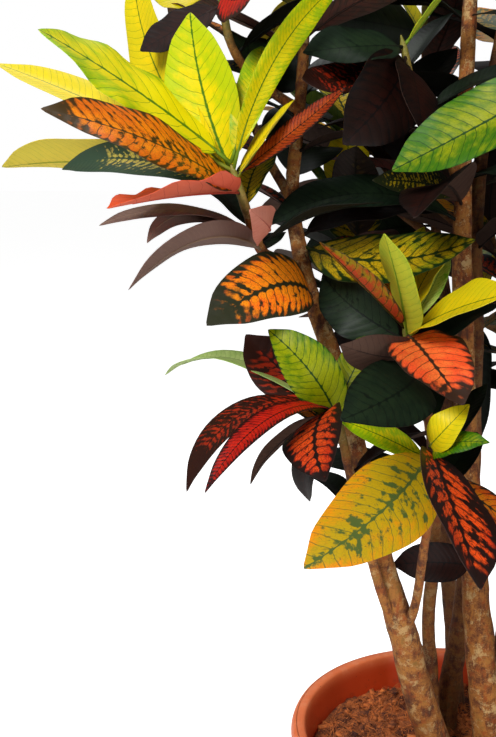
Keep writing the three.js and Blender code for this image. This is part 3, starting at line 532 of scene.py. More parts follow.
@dataclass
class LeafPlan:
    """Works out every leaf of the part: those set one by one, those the rule places, and the crown's inner
    ones.

    crown_axis: x and y of the crown's middle.
    dark_reach, dark_age: leaves whose tips are nearer than this to the crown's middle, and older than this,
        stand in the shade.
    tip_tolerance: how near a corner of the solid a leaf's tip has to lie, in millimetres.
    tint_seed: the seed of the draws that choose tones.
    ages: where one mix of tones gives way to the next, from the youngest leaf of a stretch to the oldest.
    bud_mix, young_mix, middle_mix, old_mix: the tones by age, each with its share.
    shade_mix: the tones inside the crown, all dark, partly the old leaves' own colour and partly painted
    shade.
    """

    crown_axis: Pair = (-20.0, 40.0)
    dark_reach: float = 165.0
    dark_age: float = 0.14
    tip_tolerance: float = 0.4
    tint_seed: int = 77
    ages: tuple[float, ...] = (0.15, 0.32, 0.6)
    bud_mix: tuple = ((LeafTone.LIME, 0.4), (LeafTone.LEMON, 0.28), (LeafTone.GREEN, 0.32))
    young_mix: tuple = ((LeafTone.GREEN, 0.36), (LeafTone.NETTED, 0.24), (LeafTone.LIME, 0.14),
                        (LeafTone.EMBER, 0.12), (LeafTone.FOREST, 0.14))
    middle_mix: tuple = ((LeafTone.NETTED, 0.18), (LeafTone.AMBER, 0.15), (LeafTone.EMBER, 0.22),
                         (LeafTone.MOTTLED, 0.15), (LeafTone.SUNSET, 0.06), (LeafTone.FOREST, 0.24))
    old_mix: tuple = ((LeafTone.FOREST, 0.34), (LeafTone.RUBY, 0.06), (LeafTone.MAROON, 0.22),
                      (LeafTone.CINDER, 0.12), (LeafTone.BRONZE, 0.12), (LeafTone.RUST, 0.14))
    shade_mix: tuple = ((LeafTone.FOREST, 0.5), (LeafTone.MAROON, 0.3), (LeafTone.RUST, 0.08),
                        (LeafTone.BRONZE, 0.12))

    def shaded(self, age: float, tip: Place) -> bool:
        """Whether a leaf that the rule places stands in the crown's shade, seen from above."""
        across = math.hypot(tip[0] - self.crown_axis[0], tip[1] - self.crown_axis[1])
        return age > self.dark_age and across < self.dark_reach

    def tone_of(self, age: float, tip: Place, draw: float) -> LeafTone:
        """The tone of a leaf that the rule places.

        Args:
            age: 0 for the youngest on its stretch, 1 for the oldest.
            tip: the leaf's tip.
            draw: a number between 0 and 1.

        Returns:
            A tone from the mix for that age, or from the shade's mix inside the crown.
        """
        mixes = (self.bud_mix, self.young_mix, self.middle_mix, self.old_mix)
        tones = mixes[sum(age > limit for limit in self.ages)]
        if self.shaded(age, tip):
            tones = self.shade_mix
        for tone, share in tones:
            draw -= share
            if draw < 0:
                return tone
        return tones[0][0]

    def set_leaves(self, rows: tuple) -> Iterator[Leaf]:
        """The leaves of SET_LEAVES or INNER_LEAVES, row by row."""
        for branch, share, tip, width, arch, roll, bow, tone in rows:
            root = route(branch, np.array([share]))[0][0]
            inside = float(rows is INNER_LEAVES)
            yield Leaf(branch, tuple(root), tip, width, arch, roll, bow, tone, inside)

    def rule_leaves(self) -> Iterator[Leaf]:
        """The leaves of LEAFY, youngest first on each stretch, each by the golden angle from the one before.

        Down a stretch the leaves age from 0 to 1. With age the rise falls and the length and arch grow, and
        each of them, as the width, roll and bow do, has a seeded spread.
        """
        tints = draws_from(self.tint_seed)
        for index, (branch, start, end, count, size, first, sector) in enumerate(LEAFY):
            draw = draws_from(FIRST_SEED + SEED_STEP * index)
            for i in range(count):
                share = end + (start - end) * (i + 0.5) / count
                age = (1 - share) / (1 - start)
                root = route(branch, np.array([share]))[0][0]
                turn = (i * TURN_DEGREES / 360 + next(draw) * TURN_SPREAD) % 1
                compass = math.radians(first + sector * turn)
                rise = mix(YOUNG_RISE, OLD_RISE, age**RISE_POWER) + centred(RISE_SPREAD, next(draw))
                grown = mix(YOUNG_SHARE, 1, age**SIZE_POWER)
                length = size * grown * (1 - SIZE_SPREAD / 2 + SIZE_SPREAD * next(draw))
                width = length * (SLENDERNESS + SLENDERNESS_SPREAD * next(draw))
                arch = mix(YOUNG_ARCH, OLD_ARCH, age) + centred(ARCH_SPREAD, next(draw))
                roll = centred(ROLL_SPREAD, next(draw))
                bow = centred(BOW_SPREAD, next(draw))
                plain = Leaf(branch, tuple(root), tuple(root), width, arch, roll, bow, LeafTone.GREEN)
                leaf = plain.pointed(length, compass, math.radians(rise))
                tone = self.tone_of(age, leaf.tip, next(tints))
                yield replace(leaf, tone=tone, inside=float(self.shaded(age, leaf.tip)))

    def standing(self, leaf: Leaf, corners: Array, turns: tuple, lifts: tuple) -> Leaf | None:
        """The leaf at the step where the part placed it.

        Args:
            leaf: the leaf before any step.
            corners: the corners of its stem's solid.
            turns: the compass steps in the order tried.
            lifts: the rise steps in the order tried.

        Returns:
            The first step whose tip is a corner of the solid, or None where the part left the leaf out.
        """
        for lift in lifts:
            for turn in turns:
                candidate = leaf.turned(turn, lift)
                if np.abs(corners - candidate.tip).max(axis=1).min() < self.tip_tolerance:
                    return candidate
        return None

    def of_all_stems(self, solids: dict[str, Array]) -> dict[str, list[Leaf]]:
        """Every leaf that stands on the part, by stem.

        Args:
            solids: the corners of each stem's solid.

        Returns:
            A list of leaves for each stem.
        """
        found: dict[str, list[Leaf]] = {stem: [] for stem in solids}
        batches = (
            (self.set_leaves(SET_LEAVES), SET_TURNS, SET_LIFTS),
            (self.rule_leaves(), RULE_TURNS, RULE_LIFTS),
            (self.set_leaves(INNER_LEAVES), SET_TURNS, SET_LIFTS),
        )
        for leaves, turns, lifts in batches:
            for leaf in leaves:
                stem = BRANCHES[leaf.branch][0]
                fitted = self.standing(leaf, solids[stem], turns, lifts)
                if fitted is not None:
                    found[stem].append(fitted)
        return found


@dataclass
class Skin:
    """A mesh in the making: corners in millimetres, faces, and values kept at each corner."""

    corners: list[Array] = field(default_factory=list)
    quads: list[Array] = field(default_factory=list)
    triangles: list[Array] = field(default_factory=list)
    values: dict[str, list[Array]] = field(default_factory=dict)
    count: int = 0

    def wrap(self, rings: Array, values: dict[str, Array], ends: Array | None = None) -> "Skin":
        """Adds closed tubes, each a run of rings with a fan to a middle point at both ends.

        Args:
            rings: corners (tubes, rings, sides, 3).
            values: for each name, values (tubes, rings, sides, k), or of a shape that spreads to it.
            ends: the two middle points of each tube (tubes, 2, 3). By default each is its ring's middle.

        Returns:
            The skin itself.
        """
        tubes, ring_count, sides = rings.shape[:3]
        if ends is None:
            ends = rings[:, (0, -1)].mean(axis=2)
        corners = np.concatenate([rings.reshape(tubes, -1, 3), ends], axis=1)
        here = np.arange(ring_count - 1)[:, None] * sides
        j = np.arange(sides)[None]
        beside = (j + 1) % sides
        quads = np.stack([here + j, here + beside, here + beside + sides, here + j + sides], -1)
        quads = quads.reshape(-1, 4)
        j, beside = j[0], beside[0]
        foot = ring_count * sides
        last = foot - sides
        fans = np.concatenate([
            np.stack([beside, j, np.full(sides, foot)], -1),
            np.stack([last + j, last + beside, np.full(sides, foot + 1)], -1),
        ])
        if self.volume(corners[0], quads, fans) < 0:
            quads, fans = quads[:, ::-1], fans[:, ::-1]
        shift = self.count + np.arange(tubes)[:, None, None] * (foot + 2)
        self.corners.append(corners.reshape(-1, 3))
        self.quads.append((quads + shift).reshape(-1, 4))
        self.triangles.append((fans + shift).reshape(-1, 3))
        for name, given in values.items():
            full = np.broadcast_to(given, (tubes, ring_count, sides, given.shape[-1]))
            middles = full[:, (0, -1)].mean(axis=2)
            flat = np.concatenate([full.reshape(tubes, foot, -1), middles], axis=1)
            self.values.setdefault(name, []).append(flat.reshape(-1, given.shape[-1]))
        self.count += corners.shape[0] * corners.shape[1]
        return self

    @staticmethod
    def volume(corners: Array, quads: Array, fans: Array) -> float:
        """Six times the volume that the faces close in: the sum of a . (b x c) over their triangles."""
        faces = np.concatenate([quads[:, :3], quads[:, (0, 2, 3)], fans])
        a, b, c = (corners[faces[:, k]] for k in range(3))
        return float(np.einsum("ij,ij->", a, np.cross(b, c)))

    def piece(self, name: str, material: Material, slot: str, rim: str | None = None) -> bpy.types.Object:
        """Makes the object, smooth-shaded, riding on the root.

        Args:
            name: the piece's name.
            material: its material.
            slot: not used.
            rim: a value that is above zero on corners of creases, equal along one crease.

        Returns:
            The new object.
        """
        corners = np.concatenate(self.corners) * MM
        quads = np.concatenate(self.quads)
        triangles = np.concatenate(self.triangles)
        mesh = bpy.data.meshes.new(name)
        mesh.vertices.add(len(corners))
        mesh.vertices.foreach_set("co", corners.ravel())
        mesh.loops.add(quads.size + triangles.size)
        mesh.loops.foreach_set("vertex_index", np.concatenate([quads.ravel(), triangles.ravel()]))
        mesh.polygons.add(len(quads) + len(triangles))
        starts = np.concatenate([np.arange(len(quads)) * 4, quads.size + np.arange(len(triangles)) * 3])
        mesh.polygons.foreach_set("loop_start", starts)
        mesh.update(calc_edges=True)
        mesh.shade_smooth()
        for key, parts in self.values.items():
            data = np.concatenate(parts)
            kind, member = ("FLOAT", "value") if data.shape[1] == 1 else ("FLOAT_VECTOR", "vector")
            mesh.attributes.new(key, kind, "POINT").data.foreach_set(member, data.ravel())
        if rim is not None:
            self.crease(mesh, np.concatenate(self.values[rim])[:, 0])
        mesh.materials.append(material)
        made = placed(name, mesh)
        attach(made, "root")
        log.info("%s: %d triangles", name, 2 * len(quads) + len(triangles))
        return made

    @staticmethod
    def crease(mesh: bpy.types.Mesh, rim: Array) -> None:
        """Marks as sharp each edge whose two corners have the same rim value above zero."""
        ends = np.empty(len(mesh.edges) * 2, np.int32)
        mesh.edges.foreach_get("vertices", ends)
        first, second = rim[ends[::2]], rim[ends[1::2]]
        sharp = (first > 0) & (first == second)
        mesh.attributes.new("sharp_edge", "BOOLEAN", "EDGE").data.foreach_set("value", sharp)


class Wiring:
    """Adds nodes to one material and links them, so that a formula reads as calls."""

    def __init__(self, name: str) -> None:
        """Starts a material with an output and a principled shader."""
        self.material = bpy.data.materials.new(name)
        self.material.use_nodes = True
        self.tree = self.material.node_tree
        self.shader = self.tree.nodes["Principled BSDF"]
        self.output = self.tree.nodes["Material Output"]

    def node(self, kind: str, inputs: dict | None = None, **settings: object) -> bpy.types.Node:
        """A new node with its settings, and its inputs set to values or linked from sockets."""
        made = self.tree.nodes.new(kind)
        for key, value in settings.items():
            setattr(made, key, value)
        for key, value in (inputs or {}).items():
            self.feed(made.inputs[key], value)
        return made

    def feed(self, socket: Socket, value: object) -> None:
        """Links a socket, or sets its value."""
        if isinstance(value, Socket):
            self.tree.links.new(value, socket)
        else:
            socket.default_value = value

    def calc(self, operation: str, *values: object) -> Socket:
        """The result of one sum, product or other operation."""
        return self.node("ShaderNodeMath", dict(enumerate(values)), operation=operation).outputs[0]

    def sum(self, *values: object) -> Socket:
        """The sum of sockets and numbers."""
        return reduce(partial(self.calc, "ADD"), values)

    def times(self, *values: object) -> Socket:
        """The product of sockets and numbers."""
        return reduce(partial(self.calc, "MULTIPLY"), values)

    def most(self, *values: object) -> Socket:
        """The largest of sockets and numbers."""
        return reduce(partial(self.calc, "MAXIMUM"), values)

    def fall(self, value: object, low: object, high: object) -> Socket:
        """A soft step down from 1 at low to 0 at high."""
        return self.calc("SUBTRACT", 1.0, self.step(value, low, high))

    def step(self, value: object, low: object, high: object) -> Socket:
        """A soft step from 0 at low to 1 at high."""
        inputs = {"Value": value, "From Min": low, "From Max": high}
        return self.node("ShaderNodeMapRange", inputs, interpolation_type="SMOOTHSTEP").outputs[0]

    def blend(self, share: object, first: object, second: object) -> Socket:
        """A colour between two colours."""
        made = self.node("ShaderNodeMix", {0: share, 6: first, 7: second}, data_type="RGBA")
        return made.outputs[2]

    def kept(self, name: str) -> Socket:
        """The value or colour kept at each corner under a name."""
        return self.node("ShaderNodeAttribute", attribute_name=name).outputs["Vector"]

    def parts(self, vector: object) -> tuple[Socket, ...]:
        """The three numbers of a vector."""
        return tuple(self.node("ShaderNodeSeparateXYZ", {0: vector}).outputs)

    def join(self, x: object, y: object, z: object) -> Socket:
        """A vector of three numbers."""
        return self.node("ShaderNodeCombineXYZ", {0: x, 1: y, 2: z}).outputs[0]

    def layered(self, colour: object, *layers: tuple) -> Socket:
        """A colour with others laid over it in turn, each layer a pair of its share and its colour."""
        for share, above in layers:
            colour = self.blend(share, colour, above)
        return colour

    def stretched(self, vector: object, scale: Place) -> Socket:
        """A place scaled along each axis, which stretches a pattern read from it."""
        return self.node("ShaderNodeMapping", {"Vector": vector, "Scale": scale}).outputs[0]

    def noise(self, vector: object, scale: float, detail: float = 2.0, rough: float = 0.5) -> Socket:
        """Smooth noise, near 0.5 on average."""
        inputs = {"Vector": vector, "Scale": scale, "Detail": detail, "Roughness": rough}
        return self.node("ShaderNodeTexNoise", inputs).outputs[0]

    def dress(self, colour: object, dull: object, height: object, relief: Pair) -> Material:
        """The material, once its shader has a colour, a roughness and a relief from a height."""
        depth, share = relief
        made = self.node("ShaderNodeBump", {"Height": height, "Distance": depth, "Strength": share})
        for key, value in (("Base Color", colour), ("Roughness", dull), ("Normal", made.outputs[0])):
            self.feed(self.shader.inputs[key], value)
        return self.material

    def place(self) -> Socket:
        """The point's own place on the piece, in metres."""
        return self.node("ShaderNodeTexCoord").outputs["Object"]


@dataclass(frozen=True)
class LeafFinish:
    """The croton's leaf: a glossy mottled blade that lets some light through.

    Scales are in cells for each of the blade's own units, VEIN_UNITS of which lie between two side veins.

    lean, curve: how far a side vein runs forward for each unit out, and for that squared.
    half_shift: how far apart the two halves of a blade read their noise.
    wander_scale, wander: the noise that bends the side veins, and how many gaps it shifts them.
    streak_scales, net_scales: streaks and the fine net, along the midrib and out along the side veins.
    grain_scale, broad_scale: the fine and the broad mottling.
    side_strength, dark_strength: how much of the vein colour the side veins and the darkest marks take.
    turning: where the inner colour begins to turn and where all is the outer colour.
    glow: the share of light that passes through.
    gloss: how strongly the faces mirror light, 0.5 being the shader's usual.
    relief: the quilting's depth in metres, and how much of it shows.
    """

    lean: float = 0.42
    curve: float = 0.012
    half_shift: float = 3.7
    wander_scale: float = 0.045
    wander: float = 0.8
    streak_scales: Pair = (0.17, 0.13)
    net_scales: Pair = (0.36, 0.22)
    grain_scale: float = 0.5
    broad_scale: float = 0.08
    side_strength: float = 0.88
    dark_strength: float = 0.985
    turning: Pair = (0.71, 1.38)
    glow: float = 0.3
    gloss: float = 0.2
    relief: Pair = (0.0005, 0.22)

    def material(self) -> Material:
        """The leaf's material, from the values kept at the corners."""
        w = Wiring("leaf")
        share, across, below = w.parts(w.kept("place"))
        along, aside, seed = w.parts(w.kept("flat"))
        lateral, blotch, margin = w.parts(w.kept("habit"))
        midrib, tip, shade = w.parts(w.kept("trim"))
        dull, through, _ = w.parts(w.kept("face"))
        out, edgeward = w.calc("ABSOLUTE", aside), w.calc("ABSOLUTE", across)
        own = w.sum(seed, w.times(w.calc("SIGN", aside), self.half_shift))

        # The order is the same all along one side vein, so streaks and cells drawn by it run with the veins
        order = w.sum(along, w.times(out, -self.lean), w.times(out, out, -self.curve))
        streak_along, streak_out = self.streak_scales
        streak_place = w.join(w.times(order, streak_along), w.times(out, streak_out), own)
        streak = w.noise(streak_place, 1.0, detail=4.0, rough=0.62)
        wander = w.noise(w.join(along, aside, own), self.wander_scale)
        grain = w.noise(w.join(along, aside, seed), self.grain_scale, detail=3.0, rough=0.6)
        broad = w.noise(w.join(along, aside, own), self.broad_scale, detail=3.0, rough=0.6)
        rough = w.sum(grain, -0.5)
        uneven = w.sum(w.times(streak, 0.6), w.times(broad, 0.9), -0.75)

        # How far the nearest side vein is, 0 on it and half of VEIN_UNITS between two, and how near, 1 to 0
        turns = w.sum(w.times(order, 1 / VEIN_UNITS), w.times(wander, self.wander), w.times(grain, 0.08))
        off = w.times(w.calc("ABSOLUTE", w.sum(w.calc("FRACT", turns), -0.5)), VEIN_UNITS)
        hug = w.sum(1.0, w.times(off, -2 / VEIN_UNITS))
        finger = w.times(hug, hug)

        # The side veins, and on broad-veined tones a fine net between them
        ragged_off = w.sum(off, w.times(rough, lateral, 1.4))
        side_vein = w.fall(ragged_off, w.times(lateral, 0.35), w.times(lateral, 1.3))
        net_along, net_out = self.net_scales
        cells = w.join(w.times(order, net_along), w.times(out, net_out), own)
        walls = w.node("ShaderNodeTexVoronoi", {"Vector": cells, "Scale": 1.0}, feature="DISTANCE_TO_EDGE")
        net_strength = w.calc("MINIMUM", w.times(w.sum(lateral, -0.2), 0.95), 0.7)
        net = w.times(w.fall(walls.outputs[0], 0.01, 0.08), net_strength)

        # The midrib, narrower towards the tip, with fingers out along the side veins
        ragged = w.calc("MINIMUM", w.times(w.sum(blotch, margin), 2.2), 1.0)
        band = w.sum(out, w.times(rough, midrib, 1.2), w.times(finger, midrib, ragged, -1.1))
        wide = w.times(midrib, w.sum(1.2, w.times(share, -0.8)))
        rib = w.fall(band, w.times(wide, 0.5), w.times(wide, 1.2))

        # The dark rim and tip, with fingers in along the side veins
        jags = w.times(uneven, w.sum(0.06, w.times(ragged, 0.4)))
        side = w.sum(edgeward, jags, w.times(finger, ragged, 0.26))
        rim = w.step(side, w.sum(1.04, w.times(margin, -1.6)), w.sum(1.12, w.times(margin, -0.9)))
        rim = w.times(rim, w.calc("MINIMUM", w.times(margin, 30.0), 1.0))
        reach = w.sum(share, w.times(uneven, 0.35), w.times(finger, 0.08))
        end = w.step(reach, w.sum(tip, -0.05), w.sum(tip, 0.07))

        # Blotches where the mottling is high, and flecks where the grain is
        mottle = w.sum(w.times(streak, 0.6), w.times(broad, 0.5), w.times(hug, 0.1),
                       w.times(edgeward, w.sum(margin, -0.12), 1.2))
        level = w.sum(0.84, w.times(blotch, -0.5))
        spots = w.step(mottle, w.sum(level, -0.03), w.sum(level, 0.05))
        fleck_level = w.sum(0.82, w.times(blotch, -0.3))
        flecks = w.times(w.step(grain, w.sum(fleck_level, -0.03), w.sum(fleck_level, 0.03)), 0.8)
        dark = w.most(w.times(side_vein, self.side_strength), rib, rim, end, spots, flecks, net)

        # The blade turns from its inner to its outer colour, and the lower face shows the upper one faintly
        outwards = w.sum(w.times(edgeward, 0.45), wander, shade, w.times(hug, 0.1), w.times(share, 0.4))
        streaked = w.sum(outwards, w.times(streak, 1.1), -0.55)
        lamina = w.blend(w.step(streaked, *self.turning), w.kept("inner"), w.kept("outer"))
        upper = w.blend(w.times(dark, self.dark_strength), lamina, w.kept("vein"))
        faint = w.sum(w.times(w.most(side_vein, rib), 0.3), w.times(streak, 0.25))
        lower = w.blend(through, w.blend(faint, w.kept("under"), w.kept("vein")), upper)
        colour = w.blend(below, upper, lower)

        duller = w.sum(dull, w.times(below, 0.2), w.times(grain, 0.16))
        quilt = w.sum(w.step(off, 0.0, 4.6), w.times(w.step(out, 0.0, 2.2), 0.5), w.times(grain, 0.3))
        w.dress(colour, duller, quilt, self.relief)
        w.feed(w.shader.inputs["Specular IOR Level"], self.gloss)
        passing = w.node("ShaderNodeBsdfTranslucent", {"Color": colour})
        mixed = w.node("ShaderNodeMixShader", {0: self.glow, 1: w.shader.outputs[0], 2: passing.outputs[0]})
        w.feed(w.output.inputs["Surface"], mixed.outputs[0])
        return w.material


@dataclass(frozen=True)
class BarkFinish:
    """Croton bark: warm brown and tan patches with pale crusts below, smoother above, green at the shoots,
    with painted shade in its hollows and over the stems that stand in shade.

    Scales are in cells for each metre.

    streak_stretch, ring_stretch: how the place is scaled for streaks along the stem and rings round it.
    dull, shoot_sheen: the bark's roughness, and how much smoother the shoots are.
    relief: its depth in metres, and how much of it shows.
    """

    brown: Colour = linear(100, 50, 20)
    tan: Colour = linear(178, 114, 46)
    rust: Colour = linear(152, 70, 14)
    crust: Colour = linear(208, 174, 116)
    moss: Colour = linear(104, 90, 38)
    shade: Colour = linear(58, 33, 18)
    shoot: Colour = linear(92, 118, 34)
    patch_scale: float = 52.0
    streak_scale: float = 260.0
    ring_scale: float = 120.0
    fine_scale: float = 900.0
    rust_scale: float = 96.0
    crust_scale: float = 64.0
    streak_stretch: tuple[float, float, float] = (1.0, 1.0, 0.2)
    ring_stretch: tuple[float, float, float] = (0.3, 0.3, 2.2)
    dull: float = 0.84
    shoot_sheen: float = 0.35
    relief: Pair = (0.0014, 0.7)

    def material(self) -> Material:
        """The bark's material, by place on the piece, with the tint and growth kept at the corners."""
        w = Wiring("bark")
        # The tint is each stem's painted light: where it is low the shade colour lies over the bark as
        # painted shade, and where it is high more pale crust shows
        tint, growth, _ = w.parts(w.kept("bark"))
        place = w.place()
        broad = w.noise(place, self.patch_scale, detail=6.0, rough=0.7)
        mossy = w.noise(place, self.patch_scale, detail=4.0, rough=0.7)
        rusty = w.noise(place, self.rust_scale, detail=5.0, rough=0.72)
        crusty = w.noise(place, self.crust_scale, detail=6.0, rough=0.78)
        fine = w.noise(place, self.fine_scale, detail=3.0, rough=0.65)
        streaks = w.noise(w.stretched(place, self.streak_stretch), self.streak_scale, detail=4.0, rough=0.65)
        rings = w.noise(w.stretched(place, self.ring_stretch), self.ring_scale, detail=3.0, rough=0.6)
        mixture = w.sum(w.times(broad, 0.85), w.times(streaks, 0.25), w.times(fine, 0.25))
        crust = w.step(w.sum(crusty, w.times(fine, 0.15)), 0.6, 0.7)
        # Painted shade in the hollows that the noise draws, in the shade colour
        hollow = w.fall(w.sum(w.times(streaks, 0.5), w.times(broad, 0.5)), 0.34, 0.46)
        body = w.layered(
            w.blend(w.step(mixture, 0.58, 0.76), self.brown, self.tan),
            (w.times(w.step(rusty, 0.5, 0.62), w.step(streaks, 0.36, 0.56), 0.8), self.rust),
            (w.times(w.step(mossy, 0.54, 0.7), 0.6), self.moss),
            (w.times(w.step(rings, 0.54, 0.68), 0.35), self.brown),
            (w.times(crust, w.sum(0.14, w.times(tint, 0.62))), self.crust),
            (w.times(hollow, 0.75), self.shade),
            (w.times(w.sum(1.0, w.times(tint, -1.0)), 0.75), self.shade),
            (growth, w.blend(w.times(broad, 0.5), self.shoot, self.tan)),
        )
        dull = w.sum(self.dull, w.times(growth, -self.shoot_sheen))
        rough = w.sum(streaks, w.times(rings, 0.6), w.times(fine, 0.5), w.times(crust, 0.3))
        return w.dress(body, dull, rough, self.relief)


@dataclass(frozen=True)
class SoilFinish:
    """Coconut-fibre mix: reddish brown, each scrap with a tint of its own.

    fine_scale, broad_scale: the noise that varies the tint, in cells for each metre.
    relief: its depth in metres, and how much of it shows.
    """

    light: Colour = linear(214, 120, 56)
    dark: Colour = linear(62, 24, 12)
    fine_scale: float = 700.0
    broad_scale: float = 60.0
    dull: float = 0.95
    relief: Pair = (0.001, 0.8)

    def material(self) -> Material:
        """The soil's material, with the tint kept at the corners."""
        w = Wiring("soil")
        tint, _, _ = w.parts(w.kept("scrap"))
        place = w.place()
        fine = w.noise(place, self.fine_scale, detail=3.0, rough=0.6)
        broad = w.noise(place, self.broad_scale, detail=3.0, rough=0.6)
        share = w.sum(tint, w.times(fine, 0.7), w.times(broad, 1.7), -1.15)
        body = w.blend(w.step(share, 0.0, 1.0), self.dark, self.light)
        return w.dress(body, self.dull, fine, self.relief)


@dataclass(frozen=True)
class PotFinish:
    """Terracotta-coloured plastic with a soft sheen, faint turning lines, dust and small scuffs, a deeper
    inner wall painted as shade and bounced light, and a painted highlight on the rim.

    Scales are in cells for each metre, and spans are radii and heights in millimetres.

    line_stretch: how the place is scaled for the turning lines.
    inner_shade_span: the radii across which the inner wall's colour, painted shade and bounced light, gives
    way to the outer one.
    rim_highlight_span: the heights across which the pale dust colour thickens on the rim, partly dust and
    partly a painted highlight.
    grime_span: the heights above the soil across which the grime fades.
    relief: its depth in metres, and how much of it shows.
    """

    clay: Colour = linear(228, 120, 70)
    deep: Colour = linear(210, 98, 48)
    inner: Colour = linear(180, 48, 3)
    dust_and_highlight: Colour = linear(226, 146, 106)
    dirt: Colour = linear(96, 44, 24)
    broad_scale: float = 9.0
    fine_scale: float = 420.0
    line_scale: float = 6.0
    dust_scale: float = 60.0
    grime_scale: float = 38.0
    scuff_scale: float = 330.0
    line_stretch: tuple[float, float, float] = (1.0, 1.0, 60.0)
    inner_shade_span: Pair = (MOUTH_RADIUS - 1.5, MOUTH_RADIUS + 3.5)
    rim_highlight_span: Pair = (RIM_HEIGHT - 10, RIM_HEIGHT + 1)
    grime_span: Pair = (SOIL_EDGE_HEIGHT + 4, SOIL_EDGE_HEIGHT + 20)
    dull: float = 0.3
    relief: Pair = (0.0003, 0.3)

    def material(self) -> Material:
        """The pot's material, by place on the piece."""
        w = Wiring("pot_plastic")
        place = w.place()
        broad = w.noise(place, self.broad_scale, detail=3.0, rough=0.6)
        fine = w.noise(place, self.fine_scale, detail=3.0, rough=0.6)
        lines = w.noise(w.stretched(place, self.line_stretch), self.line_scale, detail=3.0)
        dusty = w.step(w.noise(place, self.dust_scale, detail=5.0, rough=0.7), 0.46, 0.7)
        grimy = w.step(w.noise(place, self.grime_scale, detail=5.0, rough=0.7), 0.5, 0.72)
        scuffed = w.step(w.noise(place, self.scuff_scale), 0.71, 0.74)
        x, y, height = w.parts(place)
        radius = w.calc("SQRT", w.sum(w.times(x, x), w.times(y, y)))
        inside = w.fall(radius, *(r * MM for r in self.inner_shade_span))
        rim = w.step(height, *(z * MM for z in self.rim_highlight_span))
        low = w.fall(height, *(z * MM for z in self.grime_span))
        body = w.layered(
            w.blend(w.step(w.sum(broad, w.times(lines, 0.2)), 0.4, 0.8), self.clay, self.deep),
            # Painted shade and bounced light: the inner wall takes a deeper, more saturated colour
            (w.times(inside, 0.92), self.inner),
            # Pale dust over the pot, thicker on the rim's top, where it is partly a painted highlight
            (w.times(dusty, w.sum(0.1, w.times(inside, -0.09), w.times(rim, 0.3))), self.dust_and_highlight),
            (w.times(grimy, low, 0.5), self.dirt),
            (w.times(scuffed, 0.65), self.dirt),
        )
        dull = w.sum(self.dull, w.times(fine, 0.25))
        return w.dress(body, dull, w.sum(fine, w.times(lines, 0.7)), self.relief)


class Draw(IntEnum):
    """What each of a leaf's seeded draws decides, by its column."""

    BRIGHTNESS = 0
    BLOTCH = 1
    TIP = 2
    SHADE = 3
    PHASE = 4
    WAVES = 5
    WAVE_HEIGHT = 6
    FOLD = 7
    CURL = 8
    TWIST = 9
    SEED = 10


@dataclass(frozen=True)
class BladeForm:
    """The form of a blade and its petiole, in millimetres and degrees.

    along, across: steps from base to tip and from margin to margin.
    last_ring: where the last ring stands, before the tip.
    even: how evenly the steps along are spaced. The rest crowds them towards both ends.
    crowding: how much the steps across crowd towards the margins, in radians.
    start: the share of the midrib where the blade begins.
    foot_power, tip_power: how slowly the outline opens from the base and closes to the tip.
    point, point_from: how much narrower the drawn-out tip is, and where it begins.
    least_outline, least_half, half_taper: the narrowest outline, and the narrowest half width at the base,
        with how much less it is at the tip.
    ripple, ripples: the depth of the outline's swings and how many there are.
    waves, wave_height, offbeat: a margin's waves, their height as a share of the width, and how far one
        margin's run ahead of the other's, in radians.
    swell_power: how soon waves and curl swell from the blade's ends.
    fold, vee: the fold as a share of the part's, and how round it is at the midrib.
    curl: how far the margin curls under, as a share of the half width.
    twist, twist_from: the twist's reach and where it begins.
    margin_half, rib_half, rib_power, thinning: half the thickness at the margin, what the midrib adds, how
        fast that fades, and how much thinner the tip is.
    seeds: the seeds of the leaf finish's noise.
    keel_sides, keel_rings, keel_end: the petiole's tube, which goes on as the keel under the blade.
    petiole_radius, petiole_taper, keel_taper: its radius, and what it loses along petiole and keel.
    keel_sink, sink_from, sink_to: how deep the keel lies, and where it starts to sink and lies that deep,
        in petiole lengths.
    keel_face: how much of the lower face's look the keel has.
    """

    along: int = 24
    across: int = 10
    last_ring: float = 0.985
    even: float = 0.6
    crowding: float = 1.2
    start: float = 0.075
    foot_power: float = 0.68
    tip_power: float = 0.72
    point: float = 0.34
    point_from: float = 0.84
    least_outline: float = 0.02
    least_half: float = 1.0
    half_taper: float = 0.7
    ripple: float = 0.03
    ripples: float = 1.7
    waves: Pair = (1.3, 2.2)
    wave_height: Pair = (0.008, 0.022)
    offbeat: float = 1.9
    swell_power: float = 0.6
    fold: Pair = (0.55, 0.9)
    vee: float = 3.0
    curl: Pair = (0.02, 0.1)
    twist: float = 16.0
    twist_from: float = 0.25
    margin_half: float = 0.3
    rib_half: float = 0.45
    rib_power: float = 1.5
    thinning: float = 0.4
    seeds: Pair = (40.0, 90.0)
    keel_sides: int = 6
    keel_rings: int = 14
    keel_end: float = 0.86
    petiole_radius: float = 1.9
    petiole_taper: float = 0.24
    keel_taper: float = 0.56
    keel_sink: float = 0.55
    sink_from: float = 0.7
    sink_to: float = 1.5
    keel_face: float = 0.5

    def outline(self, s: Array) -> Array:
        """A blade's half width as a share of its widest, at shares of its length.

        s^foot (1 - s)^tip, divided by its largest value, and narrowed along the drawn-out tip.
        """
        both = self.foot_power + self.tip_power
        widest = (self.foot_power / both) ** self.foot_power * (self.tip_power / both) ** self.tip_power
        plain = s**self.foot_power * (1 - s) ** self.tip_power / widest
        return plain * (1 - self.point * smooth(self.point_from, 1.0, s))


